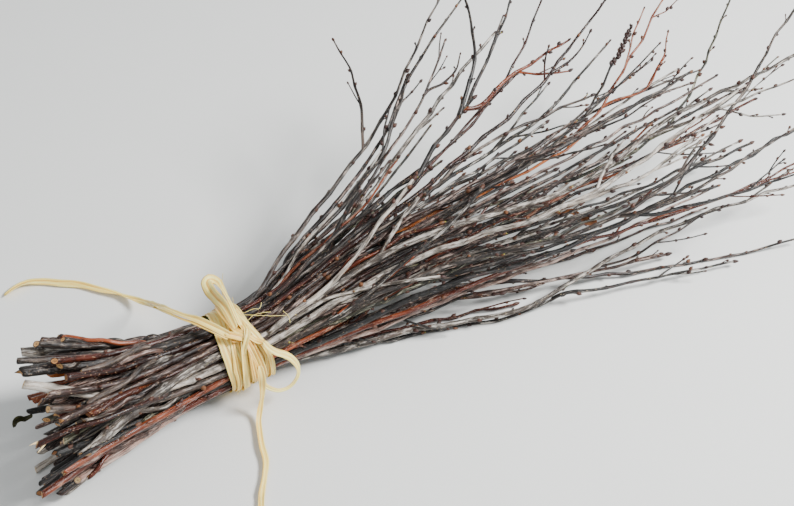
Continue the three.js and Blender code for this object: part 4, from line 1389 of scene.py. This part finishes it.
def awayFromBundle(line):
    return unit((line - np.array(place(0, 0, tie["height"])[:])) * np.array([0, 1, 1]))


for number, (shares, width, lift) in enumerate(wrap["turns"]):
    rng = np.random.default_rng(40 + number)
    angles = np.arange(wrap["angles"][0], wrap["angles"][-1] + 0.1, wrap["step"])
    left, right = (np.interp(angles, wrap["angles"], wrap[key]) for key in ("left", "right"))
    share = np.interp(angles, (-92, 20, 110, 268), shares)
    phase = rng.uniform(0, 6.28, 3)
    turned = np.radians(angles)
    along = left + share * (right - left)
    along = along + 0.35 * np.sin(2 * turned + phase[0]) + 0.2 * np.sin(5 * turned + phase[1])
    high = lift + 0.12 * np.sin(3 * turned + phase[2])
    high -= 0.3 * np.clip(1 - np.minimum(angles - angles[0], angles[-1] - angles) / 12, 0, 1)
    line = np.array([onWrap(x, angle, up, wrap["inner"]) for x, angle, up in zip(along, angles, high)])
    smooth = np.concatenate((line[:1], (line[:-2] + 2 * line[1:-1] + line[2:]) / 4, line[-1:]))
    made = strip(smooth, awayFromBundle(smooth), 40 + number, width=width, curl=0.1)
    turn = raffiaPiece(f"wrapTurn{number + 1}", [made], ["raffia_wrap"] if number == 0 else [])
    turn.data.materials.append(raffiaStraw)

# strands over the turns: places as for onWrap, width, seed
knotStrands = [
    ([(-3.9, 140, 0.9), (-6.4, 112, 0.5), (-6.4, 85, 0.6), (-4.7, 69, 1.2), (-1.5, 61, 1.8),
      (-1.1, 52, 1)], 3.6, 71),
    ([(-1.7, 140, 1.2), (-2.6, 104, 0.8), (-0.8, 82, 0.9), (-0, 68, 1.6), (-0.5, 58, 2)], 3.8, 72),
    ([(0.9, 140, 0.5), (0, 104, 0.5), (2, 82, 0.5), (4.5, 59, 0.5), (7, 40, 0.5), (8.6, 20, 0.4),
      (8.7, -15, 0.2), (8.5, -65, -0.6)], 3.8, 73),
    ([(-3.3, 54, 0.9), (-5.3, 45, 1), (-7.8, 26, 0.5), (-9.3, 4, 0.4), (-8.2, -35, 0.2),
      (-8.5, -70, -0.7)], 4.4, 74),
    ([(-1.7, 53, 1.1), (-2.2, 42, 0.9), (-3.3, 20, 0.5), (-3.4, -7, 0.3), (-2.5, -65, -0.6)], 4.2, 75),
    ([(-0.2, 54, 1.2), (0.6, 41, 0.8), (1.7, 20, 0.5), (2.9, -7, 0.3), (4, -65, -0.6)], 4.0, 76),
    ([(-1.2, 58, 1.8), (-1.9, 47, 2.4), (-1.9, 36, 3.6), (-1.4, 24, 5.1), (-1, 16, 5.3)], 3.8, 77),
    ([(-2.1, 55, 1.6), (-5.1, 59, 2.6), (-8.1, 63, 3.5), (-12.6, 69, 4.3)], 4.4, 78),
    ([(-3.6, 54, 1.2), (-7.1, 57, 1.7), (-10.6, 59, 2.5)], 2.4, 79),
    ([(-6.1, 61, 1.4), (-2.6, 60, 2.2), (0.5, 55, 2.3), (3.6, 47, 1.8), (6.8, 42, 3.2),
      (9, 37, 4.6)], 3.8, 80),
    ([(2.4, 71, 0.6), (1.8, 63, 2.4), (-0, 58, 3.5), (-3.5, 50, 3.3), (-5.7, 43, 1.7),
      (-6.4, 36, 0.6)], 3.4, 81),
    ([(1.2, 69, 0.6), (0.1, 63, 2.6), (-2.3, 55, 3.2), (-4.7, 48, 2.2), (-5.9, 43, 0.8)], 2.2, 82),
]
knotStrips = []
for spots, width, seed in knotStrands:
    line = smoothLine(np.array([onWrap(*spot) for spot in spots]), 1.2 * mm)
    widths = [0.8, 1, 1, 1, 0.85]
    knotStrips.append(strip(line, awayFromBundle(line), seed, width=width, curl=0.4, widths=widths))
knot = raffiaPiece("knot", knotStrips, ["raffia_knot"])

# the loops: places, and at each end and in between which way the flat side looks and how wide it is
loops = {
    "loopUpper": {
        "node": "raffia_loop_upper", "seed": 61,
        "way": [
            (-5.1, -11.1, 60.4), (-4.6, -2.5, 62.8), (-3.9, 7.5, 63), (-4.3, 18.2, 60.5),
            (-4.3, 28, 58.7), (-3, 33.8, 58.9), (0.3, 35.8, 57.8), (3.1, 33.2, 56.6),
            (3.3, 26.4, 57.1), (1.9, 16.5, 60), (0.3, 6, 62.8), (-1.1, -3.6, 63), (-1.5, -10.6, 60.9),
        ],
        "facing": [
            (-0.3, -0.6, 0.8), (-0.4, -0.6, 0.7), (-0.5, -0.6, 0.6), (-0.3, -0.2, 0.9), (0.5, 0.1, 0.9),
            (0.4, -0.3, 0.9), (0.1, -0.5, 0.9),
        ],
        "widths": [3.8, 5.4, 7.6, 8.0, 6.6, 3.6, 2.6, 2.8, 3.2],
    },
    "loopRight": {
        "node": "raffia_loop_right", "seed": 62,
        "way": [
            (6.5, -23.2, 53.4), (8.5, -26.5, 49.4), (11.8, -29, 45.9), (15.5, -30.2, 42.9),
            (20, -31.7, 36.9), (22.6, -33.8, 28.8), (20.5, -34.8, 20.3), (14.5, -34.8, 15.3),
            (7.9, -34.3, 16.3), (4.4, -33.8, 19.4), (1.4, -31, 21.5), (0, -28.4, 24),
        ],
        "facing": [
            (0, -0.7, 0.8), (0, -0.7, 0.8), (0.1, -0.6, 0.9), (0.5, -0.7, 0.5), (-0.2, -1, 0.3),
            (-0.4, -0.8, 0.5), (-0.3, -0.7, 0.6),
        ],
        "widths": [3.8, 4.0, 4.6, 4.4, 3.6, 2.8, 2.6, 2.8, 3.0],
    },
}
for name, loop in loops.items():
    line = wayLine(loop["way"], raffia["step"])
    at = np.linspace(0, 1, len(line))
    share = np.linspace(0, 1, len(loop["facing"]))
    looks = [np.interp(at, share, column) for column in np.array(loop["facing"], float).T]
    facing = unit(np.stack(looks, axis=1))
    made = strip(line, facing, loop["seed"], width=1.0, widths=loop["widths"], curl=0.15)
    raffiaPiece(name, [made], [loop["node"]]).data.materials.append(raffiaStraw)
knot.data.materials.append(raffiaStraw)

# loose fibres of the raffia: thin curly threads, each along a few places
fibres = {
    "ways": [
        [(3.2, 90, 1), (6.1, 84, 3), (10.7, 82, 4.5), (13.1, 79, 5), (16.2, 83, 7)],
        [(3.2, 87, 1), (9.1, 76, 2.5), (16.1, 68, 3.5), (22.1, 63, 4), (28.1, 58, 4), (32.1, 55, 5)],
        [(5.1, 75, 1), (9.1, 77, 3), (14.1, 74, 4), (19.1, 71, 3.5)],
        [(-0.7, 125, 2), (2, 132, 7), (4.1, 131, 13), (5.7, 125, 19)],
        [(2.7, 111, 1), (3.6, 109, 4), (3, 105, 8)],
        [(26.1, 66, 4), (27.1, 58, 5), (26.6, 50, 4.5)],
        [(-9.4, -28, 1), (-10.5, -60, 3), (-12.5, -60, 4)],
    ],
    "radius": 0.17,
    "curliness": 0.8,
}


def addFibres():
    spots, edges = [], []
    rng = np.random.default_rng(21)
    for way in fibres["ways"]:
        line = smoothLine(np.array([onWrap(*spot) for spot in way]), 0.8 * mm)
        waves = np.cumsum(rng.normal(0, 1, line.shape), axis=0)
        waves -= np.linspace(0, 1, len(line))[:, None] * waves[-1]
        line = line + waves * fibres["curliness"] * 0.12 * mm
        line[:, 2] = np.maximum(line[:, 2], 0.5 * mm)
        edges += [(len(spots) + i, len(spots) + i + 1) for i in range(len(line) - 1)]
        spots.extend(line)
    mesh = bpy.data.meshes.new("fibreWays")
    mesh.from_pydata([tuple(spot) for spot in spots], edges, [])
    carrier = bpy.data.objects.new("fibreWays", mesh)
    bpy.context.scene.collection.objects.link(carrier)
    rig = NodeRig("fibres")
    curve = rig.add("GeometryNodeMeshToCurve", {"Mesh": rig.start.outputs[0]}).outputs[0]
    radius = rig.number("Radius", fibres["radius"] * mm)
    around = rig.add("GeometryNodeCurvePrimitiveCircle", {"Resolution": 5, "Radius": radius})
    inputs = {"Curve": curve, "Profile Curve": around.outputs[0], "Fill Caps": True}
    tube = rig.add("GeometryNodeCurveToMesh", inputs)
    rig.finish(tube.outputs[0], raffiaStraw)
    piece = bake("fibres", rig, carrier)
    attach(piece, "root")


addFibres()
print("raffia")


# a withered leaf in the crown and a peel of bark at the cut ends, both made as curled strips
scraps = {
    "dryLeaf": {
        "way": [
            (241.3, -4.7, 24.6), (245.4, -9.8, 23.7), (250.6, -13.1, 24.8), (253.9, -18.2, 23.4),
            (257.4, -24.1, 21.6), (262.5, -27.5, 22.8),
        ],
        "facing": (-0.2, -0.5, 0.8), "widths": [0.8, 2.2, 4.8, 3.4, 5.6, 2.6], "curl": 0.8, "seed": 81,
        "colours": (rgb(58, 32, 18), rgb(112, 68, 40), rgb(150, 102, 66)),
    },
    "barkPeel": {
        "way": [(-141.3, 20.2, 23.8), (-137.9, 24.2, 22.0), (-133.9, 26.4, 20.1), (-128.1, 26.7, 19.4)],
        "facing": (-0.2, -0.7, 0.6), "widths": [1.8, 3.3, 3.5, 2.2], "curl": 1.2, "seed": 82,
        "colours": (rgb(26, 26, 14), rgb(56, 55, 32), rgb(98, 96, 58)),
    },
}


def addScrap(name, scrap):
    material, w, shader = newMaterial(name, 0.6, 0.3)
    body = w.grain(w.scaled(w.attribute("strandSpace"), (300, 900, 0)), 4, 0.7)
    low, mid, high = scrap["colours"]
    w.link(w.ramp(body, [(0.3, low), (0.5, mid), (0.72, high)]), shader.inputs["Base Color"])
    w.link(w.bump(body, 0.4 * mm, 0.8), shader.inputs["Normal"])
    line = wayLine(scrap["way"], 0.8)
    turn = np.sin(np.linspace(0, 5, len(line)) + scrap["seed"])[:, None] * 0.5
    facing = unit(np.array([scrap["facing"]]) + np.array([[0, 1, 0.4]]) * turn)
    made = strip(
        line, facing, scrap["seed"], width=1.0, widths=scrap["widths"], curl=scrap["curl"], ragged=2.5
    )
    piece = newPiece(name, made["vertices"], made["faces"], [material])
    addAttribute(piece, "strandSpace", made["space"])
    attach(piece, "root")


for name, scrap in scraps.items():
    addScrap(name, scrap)


# floor and light
studio = {
    "floor": rgb(226, 227, 224),
    "floorMottle": rgb(196, 197, 194),
    "floorHalf": 4.0,
    "sky": (0.92, 0.96, 1.0),
    "skyStrength": 0.57,
    "keyWay": (0.75, -0.55, 0.95),
    "keyDistance": 1.6,
    "keySize": 0.5,
    "keyPower": 60.0,
    "fillWay": (-0.5, -0.3, 0.9),
    "fillPower": 5.0,
    "fillSize": 1.2,
}


def addLight(name, way, power, size):
    data = bpy.data.lights.new(name, "AREA")
    data.energy = power
    data.shape = "DISK"
    data.size = size
    light = bpy.data.objects.new(name, data)
    way = Vector(way).normalized()
    light.location = place(120, 0, 0) + way * studio["keyDistance"]
    light.rotation_mode = "QUATERNION"
    light.rotation_quaternion = way.to_track_quat("Z", "Y")
    bpy.context.scene.collection.objects.link(light)


def addStudio():
    half = studio["floorHalf"]
    square = [(-half, -half, 0), (half, -half, 0), (half, half, 0), (-half, half, 0)]
    material, w, shader = newMaterial("paleTable", 0.85, 0.2)
    coordinates = w.add("ShaderNodeTexCoord", {}, "Object")
    mottle = w.math("MULTIPLY", w.grain(w.scaled(coordinates, (14, 14, 14)), 4), 0.12)
    colour = w.mix(mottle, studio["floor"], studio["floorMottle"])
    w.link(colour, shader.inputs["Base Color"])
    grain = w.grain(w.scaled(coordinates, (900, 900, 900)), 3)
    w.link(w.bump(grain, 0.2 * mm, 0.3), shader.inputs["Normal"])
    floor = newPiece("floor", square, [(0, 1, 2, 3)], [material])
    addLight("key", studio["keyWay"], studio["keyPower"], studio["keySize"])
    addLight("fill", studio["fillWay"], studio["fillPower"], studio["fillSize"])
    world = bpy.data.worlds.new("world")
    world.use_nodes = True
    background = world.node_tree.nodes["Background"]
    background.inputs[0].default_value = (*studio["sky"], 1)
    background.inputs[1].default_value = studio["skyStrength"]
    bpy.context.scene.world = world


addStudio()
print("studio")
